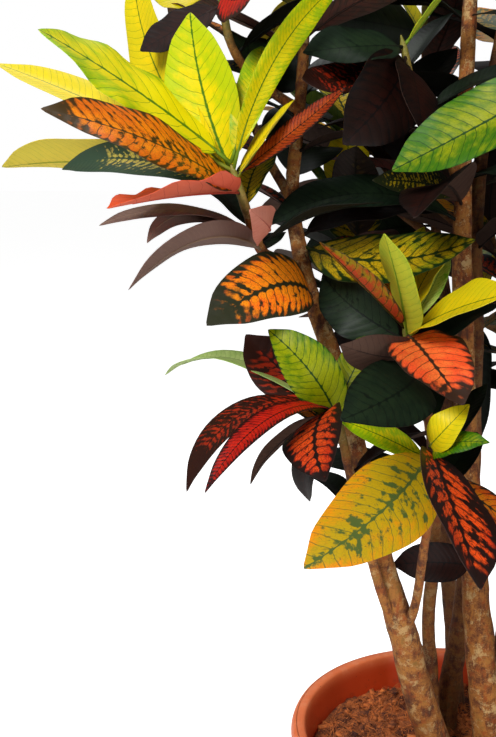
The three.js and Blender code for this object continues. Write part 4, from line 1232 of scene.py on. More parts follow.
@dataclass(frozen=True)
class WoodForm:
    """The form of a stem's bark, in millimetres.

    thick_radius: a branch with a thicker foot has trunk_sides, and any other twig_sides.
    bud_length, bud_half: the pointed bud, and its end's radius as a share of the branch's.
    collar, flare: how much thicker a branch's foot and a rooted stem at the soil are.
    lumps: depth as a share of the radius, and size, of the broad and the fine lumps.
    scar_gap, scar_shift: the gap between leaf scars, and how far a seed shifts them.
    scar_from, scar_full: the shares of the branch where scars begin and are full.
    scar_side, scar_turn: how uneven a scar is round the stem, and how fast its high side turns.
    shoot: the gaps from the tip where the green starts and is full, and how green it is.
    """

    thick_radius: float = 6.5
    twig_sides: int = 14
    trunk_sides: int = 28
    ring_step: float = 4.0
    bud_length: float = 12.0
    bud_half: float = 0.15
    collar: float = 0.32
    collar_fade: float = 14.0
    flare: float = 0.22
    flare_fade: float = 22.0
    lumps: tuple[Pair, ...] = ((0.07, 26.0), (0.035, 7.0))
    scar_gap: float = 17.0
    scar_shift: float = 0.37
    scar_height: float = 0.5
    scar_width: float = 1.6
    scar_from: float = 0.3
    scar_full: float = 0.6
    scar_side: float = 0.4
    scar_turn: float = 0.13
    shoot: tuple[float, float, float] = (70.0, 8.0, 0.9)


@dataclass
class LeafyStem:
    """One rooted stem with its branches and leaves, in place of its CAD node.

    crown_painted_shade: how much darker the leaves inside the crown are painted, as painted shade.
    brightness: how bright a leaf is against its tone.
    blotch_reach, tip_reach, shade_reach: how far leaves differ in blotches, dark tip and shade.
    seed_step: the gap between the stems' seeds for branches.
    """

    name: str
    leaves: list[Leaf]
    seed: int
    blade: BladeForm = BladeForm()
    wood: WoodForm = WoodForm()
    crown_painted_shade: float = 0.45
    brightness: Pair = (0.88, 0.24)
    blotch_reach: float = 0.14
    tip_reach: float = 0.12
    shade_reach: float = 0.4
    seed_step: int = 31

    def midribs(self, shares: Array) -> tuple[Array, Array, Array, Array]:
        """The arcs of all the stem's midribs, as the part bends them.

        With the slope falling evenly from rise to rise - bend, a point on the arc lies
        length (sin rise - sin slope) / bend ahead and length (cos slope - cos rise) / bend up.

        Args:
            shares: places along the midrib, 0 at the root and 1 at the tip.

        Returns:
            Centres, sideways and upward directions (leaves, shares, 3) and arc lengths (leaves,).
        """
        reach = np.array([np.subtract(leaf.tip, leaf.root) for leaf in self.leaves])
        roots = np.array([leaf.root for leaf in self.leaves])[:, None]
        arch = np.array([leaf.arch for leaf in self.leaves])
        roll = np.radians([leaf.roll for leaf in self.leaves])[:, None, None]
        bow = np.array([leaf.bow for leaf in self.leaves])[:, None]
        flat = np.hypot(reach[:, 0], reach[:, 1])
        ahead = np.stack([reach[:, 0] / flat, reach[:, 1] / flat, np.zeros(len(flat))], -1)[:, None]
        aside = np.stack([-ahead[..., 1], ahead[..., 0], ahead[..., 2]], -1)
        up = np.array([0.0, 0.0, 1.0])
        bend = np.radians(np.where(np.abs(arch) < LEAST_BEND, LEAST_BEND, arch))
        rise = (np.arctan2(reach[:, 2], flat) + bend / 2)[:, None]
        length = np.linalg.norm(reach, axis=1) * (bend / 2) / np.sin(bend / 2)
        slope = rise - bend[:, None] * shares
        radius = (length / bend)[:, None]
        centre = roots + ahead * (radius * (np.sin(rise) - np.sin(slope)))[..., None]
        centre = centre + up * (radius * (np.cos(slope) - np.cos(rise)))[..., None]
        centre = centre + aside * (4 * bow * shares * (1 - shares))[..., None]
        over = up * np.cos(slope)[..., None] - ahead * np.sin(slope)[..., None]
        side = aside * np.cos(roll) + over * np.sin(roll)
        normal = over * np.cos(roll) - aside * np.sin(roll)
        return centre, side, normal, length

    def colours(self, draw: Array) -> dict[str, Array]:
        """The values that the leaf finish reads, one set for each leaf, spread over its corners."""
        tones = [leaf.tone.value for leaf in self.leaves]
        inside = np.array([leaf.inside for leaf in self.leaves])
        # Leaves in the crown's shade are painted darker here: painted shade
        bright = spread(self.brightness, draw[:, Draw.BRIGHTNESS]) * (1 - self.crown_painted_shade * inside)
        kept = {
            key: np.array([linear(*getattr(tone, key))[:3] for tone in tones]) * bright[:, None]
            for key in ("inner", "outer", "vein", "under")
        }
        kept["habit"] = np.array([(tone.lateral, tone.blotch, tone.margin) for tone in tones])
        kept["habit"][:, 1] += centred(self.blotch_reach, draw[:, Draw.BLOTCH])
        kept["trim"] = np.array([(tone.midrib, tone.tip, 0.0) for tone in tones])
        kept["trim"][:, 1] += centred(self.tip_reach, draw[:, Draw.TIP])
        kept["trim"][:, 2] = centred(self.shade_reach, draw[:, Draw.SHADE])
        kept["face"] = np.array([(tone.rough, tone.through, 0.0) for tone in tones])
        return {key: values[:, None, None] for key, values in kept.items()}

    def blades(self, skin: Skin, draw: Array) -> None:
        """Adds every blade: a closed shell, thick at the midrib and thin at the margin.

        Across a blade the half width u lifts by sin(fold) (sqrt(u^2 + vee^2) - vee) as a soft V. The margin
        waves by b^2 sin(2 pi waves s + phase), with b from -1 at one margin to 1 at the other, curls under
        by b^4, and the whole twists a little towards the tip.
        """
        form = self.blade
        u = np.linspace(0.0, 1.0, form.along + 1)
        s = form.last_ring * (form.even * u + (1 - form.even) * (0.5 - 0.5 * np.cos(np.pi * u)))
        b = np.sin(np.linspace(-1.0, 1.0, form.across + 1) * form.crowding) / math.sin(form.crowding)
        centre, side, normal, length = self.midribs(form.start + (1 - form.start) * s)
        tips = self.midribs(np.array([1.0]))[0][:, 0]
        widths = np.array([leaf.width for leaf in self.leaves])[:, None]
        phase = 2 * np.pi * draw[:, Draw.PHASE, None]
        ripple = 1 + form.ripple * np.sin(2 * np.pi * form.ripples * s + phase)
        half = widths / 2 * np.maximum(form.outline(s), form.least_outline) * ripple
        half = np.maximum(half, form.least_half - form.half_taper * s)[..., None]
        out = half * b
        s3 = s[None, :, None]
        swell = np.sin(np.pi * s3) ** form.swell_power
        waves = spread(form.waves, draw[:, Draw.WAVES])[:, None, None]
        height = spread(form.wave_height, draw[:, Draw.WAVE_HEIGHT])[:, None, None] * widths[..., None]
        beat = 2 * np.pi * waves * s3 + phase[..., None] + form.offbeat * (b > 0)
        fold = np.radians(FOLD_DEGREES * spread(form.fold, draw[:, Draw.FOLD]))[:, None, None]
        curl = spread(form.curl, draw[:, Draw.CURL])[:, None, None]
        lift = np.sin(fold) * (np.sqrt(out**2 + form.vee**2) - form.vee)
        lift = lift + height * b**2 * swell * np.sin(beat)
        lift = lift - curl * half * b**4 * swell
        twist = np.radians(centred(form.twist, draw[:, Draw.TWIST]))[:, None, None]
        twist = twist * smooth(form.twist_from, 1.0, s3)
        outward = out * np.cos(fold)
        sideways = outward * np.cos(twist) - lift * np.sin(twist)
        upwards = outward * np.sin(twist) + lift * np.cos(twist)
        thick = form.margin_half + form.rib_half * (1 - np.abs(b)) ** form.rib_power
        thick = thick * (1 - form.thinning * s3)
        spine = centre[:, :, None] + side[:, :, None] * sideways[..., None]
        upper = spine + normal[:, :, None] * (upwards + thick)[..., None]
        lower = spine + normal[:, :, None] * (upwards - thick)[..., None]
        rings = np.concatenate([upper, lower[:, :, ::-1]], axis=2)
        b_round = np.concatenate([b, b[::-1]])
        below = np.repeat([0.0, 1.0], form.across + 1)
        unit = (VEIN_UNITS / (VEIN_SHARE * widths))[..., None]
        along = ((1 - form.start) * s * length[:, None])[..., None] * unit
        seed = spread(form.seeds, draw[:, Draw.SEED])[:, None, None]
        creases = np.zeros(2 * form.across + 2)
        creases[[0, form.across, form.across + 1, -1]] = (1, 2, 3, 4)
        values = {
            "place": self.spread_over(rings, s3, b_round, below),
            "flat": self.spread_over(rings, along, half * b_round * unit, seed),
            "rim": creases[None, None, :, None],
        }
        skin.wrap(rings, values | self.colours(draw), np.stack([rings[:, 0].mean(axis=1), tips], 1))

    def keels(self, skin: Skin, draw: Array) -> None:
        """Adds every petiole, a slim tube that goes on under the blade as its keel and tapers away."""
        form = self.blade
        t = np.linspace(0.0, form.keel_end, form.keel_rings)
        centre, side, normal, length = self.midribs(t)
        taper = 1 - form.petiole_taper * smooth(0.0, PETIOLE_SHARE, t)
        taper = taper - form.keel_taper * smooth(PETIOLE_SHARE, form.keel_end, t)
        radius = (form.petiole_radius * taper)[:, None, None]
        sunk = smooth(PETIOLE_SHARE * form.sink_from, PETIOLE_SHARE * form.sink_to, t)[:, None, None]
        turn = around(form.keel_sides)
        sideways = radius * np.cos(turn)[:, None]
        upwards = radius * np.sin(turn)[:, None] - form.keel_sink * sunk
        rings = centre[:, :, None] + side[:, :, None] * sideways + normal[:, :, None] * upwards
        s = np.clip((t - PETIOLE_SHARE) / (1 - PETIOLE_SHARE), 0, 1)[None, :, None]
        seed = spread(form.seeds, draw[:, Draw.SEED])[:, None, None]
        values = {
            "place": self.spread_over(rings, s, 0.0, form.keel_face),
            "flat": self.spread_over(rings, s * length[:, None, None], 0.0, seed),
            "rim": np.zeros((1, 1, 1, 1)),
        }
        skin.wrap(rings, values | self.colours(draw))

    @staticmethod
    def spread_over(rings: Array, *parts: Array | float) -> Array:
        """Three values at every corner of the rings, from arrays or numbers that spread to them."""
        return np.stack([np.broadcast_to(part, rings.shape[:3]) for part in parts], -1)

    def branch(self, skin: Skin, name: str, seed: int) -> None:
        """Adds one branch: a tube along its route with a collar at its foot, scars, lumps and a pointed bud.

        The radius is the part's, times 1 + collar + flare, times 1 + lumps of broad and of fine noise, plus
        a low ridge at every leaf scar.

        Args:
            skin: the mesh in the making.
            name: the branch.
            seed: the seed of its lumps and scars.
        """
        form = self.wood
        path = np.array(BRANCHES[name][1], float)
        span = np.linalg.norm(np.diff(path[:, :3], axis=0), axis=1).sum()
        count = int(span / form.ring_step) + 2
        shares = np.linspace(0.0, 1.0, count)
        centre, ahead, radius = route(name, shares)
        steps = np.linalg.norm(np.diff(centre, axis=0), axis=1)
        walked = np.concatenate([[0.0], np.cumsum(steps)])
        left = walked[-1] - walked
        reach = np.abs(path[-1, :3] - path[0, :3])
        reference = np.array([0.0, 1.0, 0.0]) if reach[0] > reach[1] else np.array([1.0, 0.0, 0.0])
        side = reference - ahead * (ahead @ reference)[:, None]
        side /= np.linalg.norm(side, axis=1, keepdims=True)
        over = np.cross(ahead, side)
        turn = around(form.trunk_sides if path[0, 3] > form.thick_radius else form.twig_sides)
        outward = side[:, None] * np.cos(turn)[:, None] + over[:, None] * np.sin(turn)[:, None]
        if "_" in name:
            thicker = form.collar * np.exp(-walked / form.collar_fade)
        else:
            thicker = form.flare * np.exp(-np.abs(centre[:, 2] - SOIL_EDGE_HEIGHT) / form.flare_fade)
        bud = form.bud_half + (1 - form.bud_half) * smooth(0.0, form.bud_length, left)
        plain = radius * (1 + thicker) * bud
        surface = centre[:, None] + outward * plain[:, None, None]
        lump = layered_noise(surface, seed, form.lumps)
        scar = np.abs((walked / form.scar_gap + seed * form.scar_shift) % 1.0 - 0.5) * form.scar_gap
        ridge = form.scar_height * np.exp(-((scar / form.scar_width) ** 2))
        ridge = ridge * smooth(form.scar_from, form.scar_full, shares)
        uneven = 1 - form.scar_side + form.scar_side * np.sin(turn + walked[:, None] * form.scar_turn)
        full = plain[:, None] * (1 + lump) + ridge[:, None] * uneven
        rings = (centre[:, None] + outward * full[..., None])[None]
        green_from, green_full, greenness = form.shoot
        growth = smooth(green_from, green_full, left) * greenness
        # How much painted light the stem's bark takes; lower values give it painted shade
        tint = np.full(count, BARK_PAINTED_LIGHT.get(name.split("_")[0], OTHER_PAINTED_LIGHT))
        skin.wrap(rings, {"bark": np.stack([tint, growth, growth * 0], -1)[None, :, None]})

    def make(self, leaf: Material, bark: Material) -> None:
        """Makes the stem's bark and leaves, which stand for its CAD node."""
        wood = Skin()
        mine = [name for name, (stem, _) in BRANCHES.items() if stem == self.name]
        for index, name in enumerate(mine):
            self.branch(wood, name, self.seed * self.seed_step + index)
        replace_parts(wood.piece(f"bark_{self.name}", bark, "bark"), f"stem_{self.name}")
        foliage = Skin()
        draw = np.random.default_rng(self.seed).random((len(self.leaves), len(Draw)))
        self.blades(foliage, draw)
        self.keels(foliage, draw)
        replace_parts(foliage.piece(f"leaves_{self.name}", leaf, "leaves", "rim"), f"stem_{self.name}")


def revolved(section: Array, turn: Array) -> Array:
    """Rings about the upright axis: each row's radius spun through the angles, at the row's height.

    Args:
        section: radius and height of each ring (rings, 2).
        turn: the angles, in radians.

    Returns:
        Corners (rings, angles, 3).
    """
    radius, height = section[:, :1], section[:, 1:]
    return np.stack(np.broadcast_arrays(radius * np.cos(turn), radius * np.sin(turn), height), -1)


@dataclass
class GrowingPot:
    """The round plastic pot: a tapered wall with a broad rolled lip, and drain holes in its floor.

    corner_steps: steps round each corner of its section.
    cutter_span: the foot and top of the plugs that cut the drain holes.
    base_rows: radii of rows of corners on the base and the floor.
    groove: radii of the inner side of the base's shallow groove.
    wall_rows, wall_step, wall_foot: rows of corners up the wall, the step out and up to the next, and the
        height that they count from.
    inside_rows: heights of rows of corners on the inner wall.
    """

    segments: int = 176
    corner_steps: int = 5
    cutter_sides: int = 32
    cutter_span: Pair = (-5.0, 15.0)
    base_rows: Pair = (20.0, 60.0)
    floor_row: float = 96.0
    groove: Pair = (98.0, 102.0)
    groove_depth: float = 1.2
    wall_rows: int = 5
    wall_step: Pair = (6.0, 46.0)
    wall_foot: float = 6.0
    inside_rows: tuple[float, ...] = (262.0, 200.0, 130.0, 60.0)

    def inner_radius(self, height: float) -> float:
        """The wall's inner radius at a height, as the part has it."""
        slope = (MOUTH_RADIUS - (BASE_RADIUS - WALL)) / (RIM_HEIGHT - FLOOR)
        return MOUTH_RADIUS - slope * (RIM_HEIGHT - MOUTH_DROP - height)

    def corners(self) -> Array:
        """Radius, height and rounding of each corner of the wall's section.

        Returns:
            The corners from the middle of the base, out and up the wall, round the lip and down inside to
            the middle of the floor.
        """
        near, far = self.base_rows
        groove_start, groove_top = self.groove
        under_lip = RIM_HEIGHT - LIP_DROP
        shoulder = FLOOR + INNER_CORNER
        out, up = self.wall_step
        base = (
            (near, 0, 0), (far, 0, 0), (groove_start, 0, 1), (groove_top, self.groove_depth, 1),
            (BASE_RADIUS - 5, self.groove_depth, 1), (BASE_RADIUS - 3, 0, 1), (BASE_RADIUS, 4, 2.5),
        )
        rows = range(1, self.wall_rows + 1)
        wall = tuple((BASE_RADIUS + out * k, self.wall_foot + up * k, 0) for k in rows)
        lip = (
            (MOUTH_RADIUS - 2.6, under_lip - 3, 2), (MOUTH_RADIUS + 1.5, under_lip, 1.5),
            (RIM_RADIUS - 1.6, under_lip, 2.2), (RIM_RADIUS, RIM_HEIGHT - 8, 3),
            (RIM_RADIUS - 3.4, RIM_HEIGHT - 0.8, 2.6), ((RIM_RADIUS + MOUTH_RADIUS) / 2, RIM_HEIGHT, 3),
            (MOUTH_RADIUS + 2.4, RIM_HEIGHT - 1.2, 2.6), (MOUTH_RADIUS, RIM_HEIGHT - MOUTH_DROP, 3),
        )
        inside = tuple((self.inner_radius(height), height, 0) for height in self.inside_rows)
        floor = (
            (self.inner_radius(shoulder), shoulder, 3),
            (self.inner_radius(shoulder) - INNER_CORNER, FLOOR, 3),
            (self.floor_row, FLOOR, 0), (far, FLOOR, 0), (near, FLOOR, 0),
        )
        return np.array(base + wall + lip + inside + floor, float)

    def profile(self) -> Array:
        """The wall's section with its corners rounded.

        Each corner c becomes (1-u)^2 a + 2u(1-u) c + u^2 b, with a and b a small step away along its edges.

        Returns:
            Radius and height of each row of corners.
        """
        places = self.corners()
        bends = []
        for before, corner, after in zip(places[:-2], places[1:-1], places[2:]):
            back, ahead = before[:2] - corner[:2], after[:2] - corner[:2]
            a = corner[:2] + back / np.linalg.norm(back) * corner[2]
            b = corner[:2] + ahead / np.linalg.norm(ahead) * corner[2]
            u = np.linspace(0, 1, self.corner_steps if corner[2] else 1)[:, None]
            bends.append((1 - u) ** 2 * a + 2 * u * (1 - u) * corner[:2] + u**2 * b)
        return np.vstack([places[:1, :2], *bends, places[-1:, :2]])

    def drains(self) -> bpy.types.Object:
        """The plugs that cut the drain holes, in one object."""
        foot, top = self.cutter_span
        plug = revolved(np.array([(DRAIN_RADIUS, foot), (DRAIN_RADIUS, top)]), around(self.cutter_sides))
        spots = around(DRAIN_HOLES)
        middle = np.stack([np.sin(spots), np.cos(spots), np.zeros(DRAIN_HOLES)], -1) * DRAIN_CIRCLE
        skin = Skin().wrap(middle[:, None, None] + plug, {})
        faces = [*np.concatenate(skin.quads).tolist(), *np.concatenate(skin.triangles).tolist()]
        mesh = bpy.data.meshes.new("plugs")
        mesh.from_pydata(np.concatenate(skin.corners) * MM, [], faces)
        return placed("plugs", mesh)

    def make(self, material: Material) -> None:
        """Makes the pot, which stands for its CAD node."""
        ends = np.array([[[0, 0, 0], [0, 0, FLOOR]]], float)
        wall = Skin().wrap(revolved(self.profile(), around(self.segments))[None], {}, ends)
        pot = wall.piece("pot_body", material, "pot")
        plugs = self.drains()
        cut = pot.modifiers.new("drains", "BOOLEAN")
        cut.operation = "DIFFERENCE"
        cut.object = plugs
        depsgraph = bpy.context.evaluated_depsgraph_get()
        whole = bpy.data.meshes.new_from_object(pot.evaluated_get(depsgraph))
        pot.modifiers.clear()
        pot.data = whole
        bpy.data.objects.remove(plugs)
        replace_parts(pot, "pot")


@dataclass
class SoilBed:
    """The bed of potting mix: its body in the pot, and its lumpy top.

    crumbs: height and size of the broad and the fine crumbs.
    wall_heights: heights of the rows of corners on its side.
    side_gap: how much further than its seat the side stays from the pot.
    middle_share, edge_crowding: the innermost row's place, and how the rows crowd outwards.
    tint, tint_reach, tint_size: the tint's middle and reach, and the size of its patches.
    stem_share, stem_gap: scraps stay this share of its radius, and this gap more, from a stem.
    """

    segments: int = 220
    rings: int = 84
    seed: int = 5
    crumbs: tuple[Pair, ...] = ((2.6, 10.0), (1.6, 3.8))
    wall_heights: tuple[float, ...] = (60.0, 120.0, 180.0, 230.0, 262.0)
    side_gap: float = 0.3
    middle_share: float = 0.012
    edge_crowding: float = 0.8
    tint: float = 0.32
    tint_reach: float = 0.25
    tint_size: float = 6.0
    stem_share: float = 1.3
    stem_gap: float = 4.0

    def height(self, x: Array, y: Array) -> Array:
        """The bed's height at a place: the part's mound and lumps, with crumbs over them.

        The mound is 1 - (r / mouth)^2 of its height. The lumps are sin(a x + shift) cos(b y) and half of
        sin(c (x - y)), with a, b and c the bump waves.
        """
        mound = SOIL_EDGE_HEIGHT + SOIL_MOUND * (1 - (x**2 + y**2) / MOUTH_RADIUS**2)
        a, b, c = BUMP_WAVES
        lumps = np.sin(x * a + BUMP_SHIFT) * np.cos(y * b) + 0.5 * np.sin((x - y) * c)
        spot = np.stack([x, y, np.zeros_like(x)], -1)
        return mound + SOIL_BUMP * lumps + layered_noise(spot, self.seed, self.crumbs)

    def skin(self, pot: GrowingPot) -> Skin:
        """The bed's mesh: side and bottom a hair inside the pot, and the lumpy top."""
        turn = around(self.segments)
        bottom, shoulder = FLOOR + SEAT_GAP, FLOOR + INNER_CORNER
        foot = pot.inner_radius(shoulder) - SEAT_GAP
        wall = [(foot - INNER_CORNER, bottom), (foot, shoulder + SEAT_GAP)]
        wall += [(pot.inner_radius(h) - SEAT_GAP - self.side_gap, h) for h in self.wall_heights]
        reach = pot.inner_radius(SOIL_EDGE_HEIGHT) - SEAT_GAP - self.side_gap
        radii = reach * np.linspace(1.0, self.middle_share, self.rings)[:, None] ** self.edge_crowding
        x, y = radii * np.cos(turn), radii * np.sin(turn)
        top = np.stack([x, y, self.height(x, y)], -1)
        rings = np.concatenate([revolved(np.array(wall), turn), top])[None]
        patches = value_noise(rings / self.tint_size, self.seed + len(self.crumbs))
        grain = patches * self.tint_reach + self.tint
        middle = float(self.height(np.zeros(1), np.zeros(1))[0])
        ends = np.array([[[0, 0, bottom], [0, 0, middle]]])
        return Skin().wrap(rings, {"scrap": np.stack([grain, grain * 0, grain * 0], -1)}, ends)

    def spots(self, draw: np.random.Generator, count: int, reach: float) -> Array:
        """Seeded places on the bed, clear of the stems.

        Args:
            draw: the seeded draws.
            count: how many places are tried.
            reach: the largest distance from the middle.

        Returns:
            x and y of the places kept.
        """
        radius = reach * np.sqrt(draw.random(count))
        turn = 2 * np.pi * draw.random(count)
        spot = np.stack([radius * np.cos(turn), radius * np.sin(turn)], -1)
        clear = np.ones(count, bool)
        for name in BRANCHES:
            if "_" not in name:
                centre, _, thick = route(name, np.linspace(0, 0.5, 60))
                near = np.abs(centre[:, 2] - SOIL_EDGE_HEIGHT).argmin()
                gap = np.linalg.norm(spot - centre[near, :2], axis=1)
                clear &= gap > thick[near] * self.stem_share + self.stem_gap
        return spot[clear]


@dataclass
class HuskChips:
    """Flat husk chips strewn on the bed: boxes with uneven ends, lying at slight tilts.

    half_long, smallness: half a chip's length, and how far most chips keep to the least of it.
    vary, wide, thick: its length's own variation, and its width and thickness as shares of it.
    jag, tilt: how uneven its ends are, and its largest tilt, in radians.
    rest: how far its middle lies over the bed, as a share of its half thickness.
    """

    count: int = 1100
    reach: float = 154.0
    seed: int = 15
    half_long: Pair = (1.7, 6.0)
    smallness: float = 3
    vary: Pair = (0.8, 0.4)
    wide: Pair = (0.35, 0.4)
    thick: Pair = (0.1, 0.22)
    jag: float = 0.4
    tilt: float = 0.5
    rest: float = 0.6
    tint: float = 0.95

    def skin(self, bed: SoilBed) -> Skin:
        """The chips' mesh."""
        draw = np.random.default_rng(self.seed)
        spot = bed.spots(draw, self.count, self.reach)
        n = len(spot)
        half_long = spread(self.half_long, draw.random(n) ** self.smallness)[:, None, None]
        half_long = half_long * spread(self.vary, draw.random((n, 1, 1)))
        half_wide = half_long * spread(self.wide, draw.random((n, 1, 1)))
        half_thick = half_long * spread(self.thick, draw.random((n, 1, 1)))
        jag = 1 + centred(self.jag, draw.random((n, 2, 4)))
        local = np.stack([
            np.array([-1, 1])[None, :, None] * half_long * jag,
            np.array([-1, 1, 1, -1]) * half_wide * jag[:, ::-1],
            np.array([-1, -1, 1, 1]) * half_thick * np.ones((n, 2, 4)),
        ], -1)
        axes = self.tilted(draw, n)
        middle = np.concatenate([spot, bed.height(spot[:, 0], spot[:, 1])[:, None]], -1)
        middle[:, 2] += half_thick[:, 0, 0] * self.rest
        rings = middle[:, None, None] + np.einsum("nrsk,nkj->nrsj", local, axes)
        tint = draw.random(n)[:, None, None, None] * np.array([1.0, 0.0, 0.0])
        return Skin().wrap(rings, {"scrap": tint * self.tint})

    def tilted(self, draw: np.random.Generator, count: int) -> Array:
        """Seeded axes (count, 3, 3) that lie nearly flat, at any heading."""
        heading = 2 * np.pi * draw.random(count)
        first = self.tilt * (2 * draw.random(count) - 1)
        second = self.tilt * (2 * draw.random(count) - 1)
        flat = np.cos(first)
        ahead = np.stack([np.cos(heading) * flat, np.sin(heading) * flat, np.sin(first)], -1)
        level = np.stack([-np.sin(heading), np.cos(heading), np.zeros(count)], -1)
        over = np.cross(ahead, level)
        side = level * np.cos(second)[:, None] + over * np.sin(second)[:, None]
        return np.stack([ahead, side, np.cross(ahead, side)], 1)


@dataclass
class HuskFibres:
    """Curled husk fibres strewn on the bed: thin three-sided hairs, each bent in an arc that hugs it.

    reach, edge: how far from the middle a fibre starts, and how far out it may lie.
    length, shortness: its length, and how far most fibres keep to the least of it.
    bend, slope: the reach of its turn, in radians, and of its rise, as a share of its length.
    gap, hump: how far it lies over the bed, and how far its middle is lifted.
    thick, thinning: its radius, and how much thinner it is at its ends.
    """

    count: int = 9000
    reach: float = 153.0
    edge: float = 156.0
    seed: int = 25
    sides: int = 3
    steps: int = 4
    length: Pair = (5.0, 17.0)
    shortness: float = 1.8
    bend: float = 1.5
    slope: float = 0.5
    gap: float = 0.3
    hump: Pair = (0.3, 3.4)
    thick: Pair = (0.16, 0.34)
    thinning: float = 1.6
    tint: Pair = (0.1, 1.0)

    def skin(self, bed: SoilBed) -> Skin:
        """The fibres' mesh.

        A fibre's heading turns evenly along it, and its steps are summed. Its height is the bed's, and a
        hump of 1 - 4u^2 and a slope along u, which runs from -0.5 to 0.5.
        """
        draw = np.random.default_rng(self.seed)
        spot = bed.spots(draw, self.count, self.reach)
        n = len(spot)
        u = np.linspace(-0.5, 0.5, self.steps)
        length = spread(self.length, draw.random(n) ** self.shortness)[:, None]
        heading = 2 * np.pi * draw.random(n)[:, None]
        angle = heading + centred(self.bend, draw.random(n)[:, None]) * u
        x = spot[:, :1] + np.cumsum(np.cos(angle), axis=1) * length / self.steps
        y = spot[:, 1:] + np.cumsum(np.sin(angle), axis=1) * length / self.steps
        kept = np.hypot(x, y).max(axis=1) < self.edge
        x, y, angle, length, n = x[kept], y[kept], angle[kept], length[kept], int(kept.sum())
        slope = centred(self.slope, draw.random((n, 1))) * length
        hump = spread(self.hump, draw.random((n, 1)) ** 2) * (1 - 4 * u**2)
        hump = hump + np.abs(slope) + slope * 2 * u
        centre = np.stack([x, y, bed.height(x, y) + self.gap + hump], -1)
        thick = spread(self.thick, draw.random((n, 1)) ** 2) * (1 - self.thinning * u**2)
        turn = around(self.sides)
        across = np.stack([-np.sin(angle), np.cos(angle), np.zeros_like(angle)], -1)
        outward = across[:, :, None] * np.cos(turn)[:, None] + np.array([0, 0, 1.0]) * np.sin(turn)[:, None]
        rings = centre[:, :, None] + outward * thick[..., None, None]
        tint = spread(self.tint, draw.random(n))[:, None, None, None] * np.array([1.0, 0.0, 0.0])
        return Skin().wrap(rings, {"scrap": tint})


@dataclass
class PottingSoil:
    """The coconut-fibre mix in the pot: a lumpy bed with chips and fibres strewn over it."""

    bed: SoilBed = field(default_factory=SoilBed)
    chips: HuskChips = field(default_factory=HuskChips)
    fibres: HuskFibres = field(default_factory=HuskFibres)

    def make(self, material: Material, pot: GrowingPot) -> None:
        """Makes the bed, chips and fibres, which stand for the soil's CAD node."""
        for name, skin in (("soil_bed", self.bed.skin(pot)), ("soil_chips", self.chips.skin(self.bed)),
                           ("soil_fibres", self.fibres.skin(self.bed))):
            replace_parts(skin.piece(name, material, "soil"), "soil")


@dataclass(frozen=True)
class SoftLight:
    """A square soft light, in metres and watts.

    place, aim: where it stands and the point that it is turned towards.
    mirrored: how strongly glossy faces mirror it, 1 being the usual.
    """

    name: str
    place: Place
    aim: Place
    size: float
    power: float
    mirrored: float = 1.0

    def make(self) -> None:
        """Makes the light."""
        lamp = bpy.data.lights.new(self.name, "AREA")
        lamp.size = self.size
        lamp.energy = self.power
        lamp.specular_factor = self.mirrored
        made = placed(self.name, lamp)
        made.location = self.place
        made.rotation_euler = (Vector(self.aim) - Vector(self.place)).to_track_quat("-Z", "Y").to_euler()


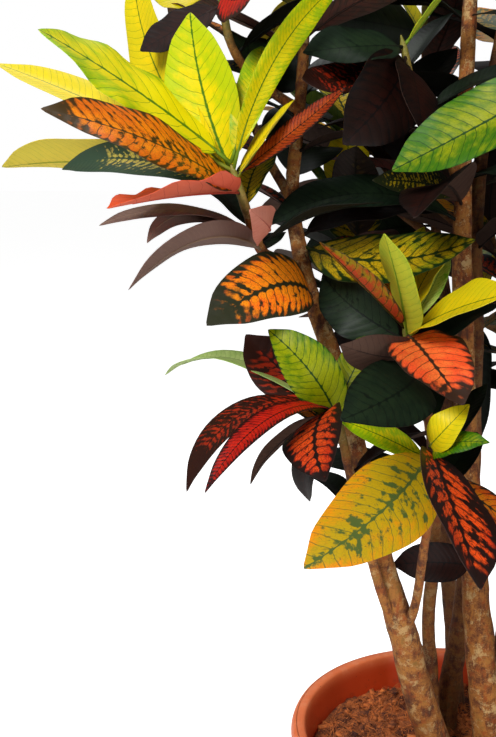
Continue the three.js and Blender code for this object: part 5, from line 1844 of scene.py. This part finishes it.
@dataclass
class Studio:
    """The plain pale floor, the soft lights and the photograph's camera.

    floor_half: half the floor's side, in metres.
    floor_glow: how brightly the floor shows to the camera, over what the lights give it.
    grain_scale, relief: the floor's grain, as the finishes give theirs.
    sky: how strongly the white surround lights the plant.
    """

    floor_half: float = 60.0
    floor_colour: Colour = linear(246, 246, 245)
    floor_dull: float = 0.8
    floor_glow: float = 0.8
    grain_scale: float = 240.0
    relief: Pair = (0.0002, 0.2)
    sky: float = 0.2
    lights: tuple[SoftLight, ...] = (
        SoftLight("key", (-1.7, -2.3, 2.9), (0, 0, 0.8), 1.3, 140.0),
        SoftLight("fill", (1.3, -2.5, 0.9), (0, 0, 0.45), 1.2, 30.0),
        SoftLight("top", (-0.4, 1.2, 3.2), (0, 0.1, 0.9), 1.4, 32.0, 0.2),
    )

    def floor(self) -> None:
        """A plain pale floor at the pot's base."""
        half = self.floor_half
        corners = [(-half, -half, 0), (half, -half, 0), (half, half, 0), (-half, half, 0)]
        mesh = bpy.data.meshes.new("floor")
        mesh.from_pydata(corners, [], [(0, 1, 2, 3)])
        w = Wiring("floor")
        grain = w.noise(w.place(), self.grain_scale)
        w.dress(self.floor_colour, self.floor_dull, grain, self.relief)
        seen = w.node("ShaderNodeLightPath").outputs["Is Camera Ray"]
        lit = w.node("ShaderNodeEmission", {"Strength": w.times(seen, self.floor_glow)})
        both = w.node("ShaderNodeAddShader", {0: w.shader.outputs[0], 1: lit.outputs[0]})
        w.feed(w.output.inputs["Surface"], both.outputs[0])
        mesh.materials.append(w.material)
        placed("floor", mesh)

    def world(self) -> None:
        """A white surround that lights less strongly than it shows."""
        world = bpy.data.worlds.new("studio")
        world.use_nodes = True
        bpy.context.scene.world = world
        tree = world.node_tree
        back = tree.nodes["Background"]
        shown = tree.nodes.new("ShaderNodeBackground")
        path = tree.nodes.new("ShaderNodeLightPath")
        either = tree.nodes.new("ShaderNodeMixShader")
        for node, strength in ((back, self.sky), (shown, 1.0)):
            node.inputs["Color"].default_value = (1, 1, 1, 1)
            node.inputs["Strength"].default_value = strength
        for socket, source in zip(either.inputs, (path.outputs["Is Camera Ray"], back.outputs[0],
                                                  shown.outputs[0])):
            tree.links.new(source, socket)
        tree.links.new(either.outputs[0], tree.nodes["World Output"].inputs[0])

    def camera(self) -> None:
        """The photograph's camera."""
        lens = bpy.data.cameras.new("camera")
        lens.sensor_fit = "VERTICAL"
        lens.sensor_height = SENSOR_MM
        lens.lens = FOCAL_LENGTH_PX / IMAGE_HEIGHT_PX * SENSOR_MM
        made = placed("camera", lens)
        made.location = CAMERA_PLACE
        made.rotation_euler = (math.radians(90 - CAMERA_PITCH_DOWN), 0, 0)
        bpy.context.scene.camera = made

    def make(self) -> None:
        """Makes the floor, surround, lights and camera."""
        bpy.context.scene.view_settings.view_transform = "Standard"
        self.floor()
        self.world()
        for light in self.lights:
            light.make()
        self.camera()


def main() -> None:
    """Dresses the croton and sets up the studio."""
    logging.basicConfig(level=logging.INFO, format="%(message)s")
    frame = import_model()
    solids = {}
    for stem in sorted({stem for stem, _ in BRANCHES.values()}):
        mesh = frame["nodes"][f"stem_{stem}"].data
        corners = np.empty(len(mesh.vertices) * 3)
        mesh.vertices.foreach_get("co", corners)
        solids[stem] = corners.reshape(-1, 3) / MM
    plan = LeafPlan().of_all_stems(solids)
    log.info("leaves: %d", sum(len(leaves) for leaves in plan.values()))
    leaf, bark = LeafFinish().material(), BarkFinish().material()
    for index, (stem, leaves) in enumerate(plan.items()):
        LeafyStem(stem, leaves, 11 + index).make(leaf, bark)
    pot = GrowingPot()
    pot.make(PotFinish().material())
    PottingSoil().make(SoilFinish().material(), pot)
    Studio().make()
    bpy.context.view_layer.update()


if __name__ == "__main__":
    main()
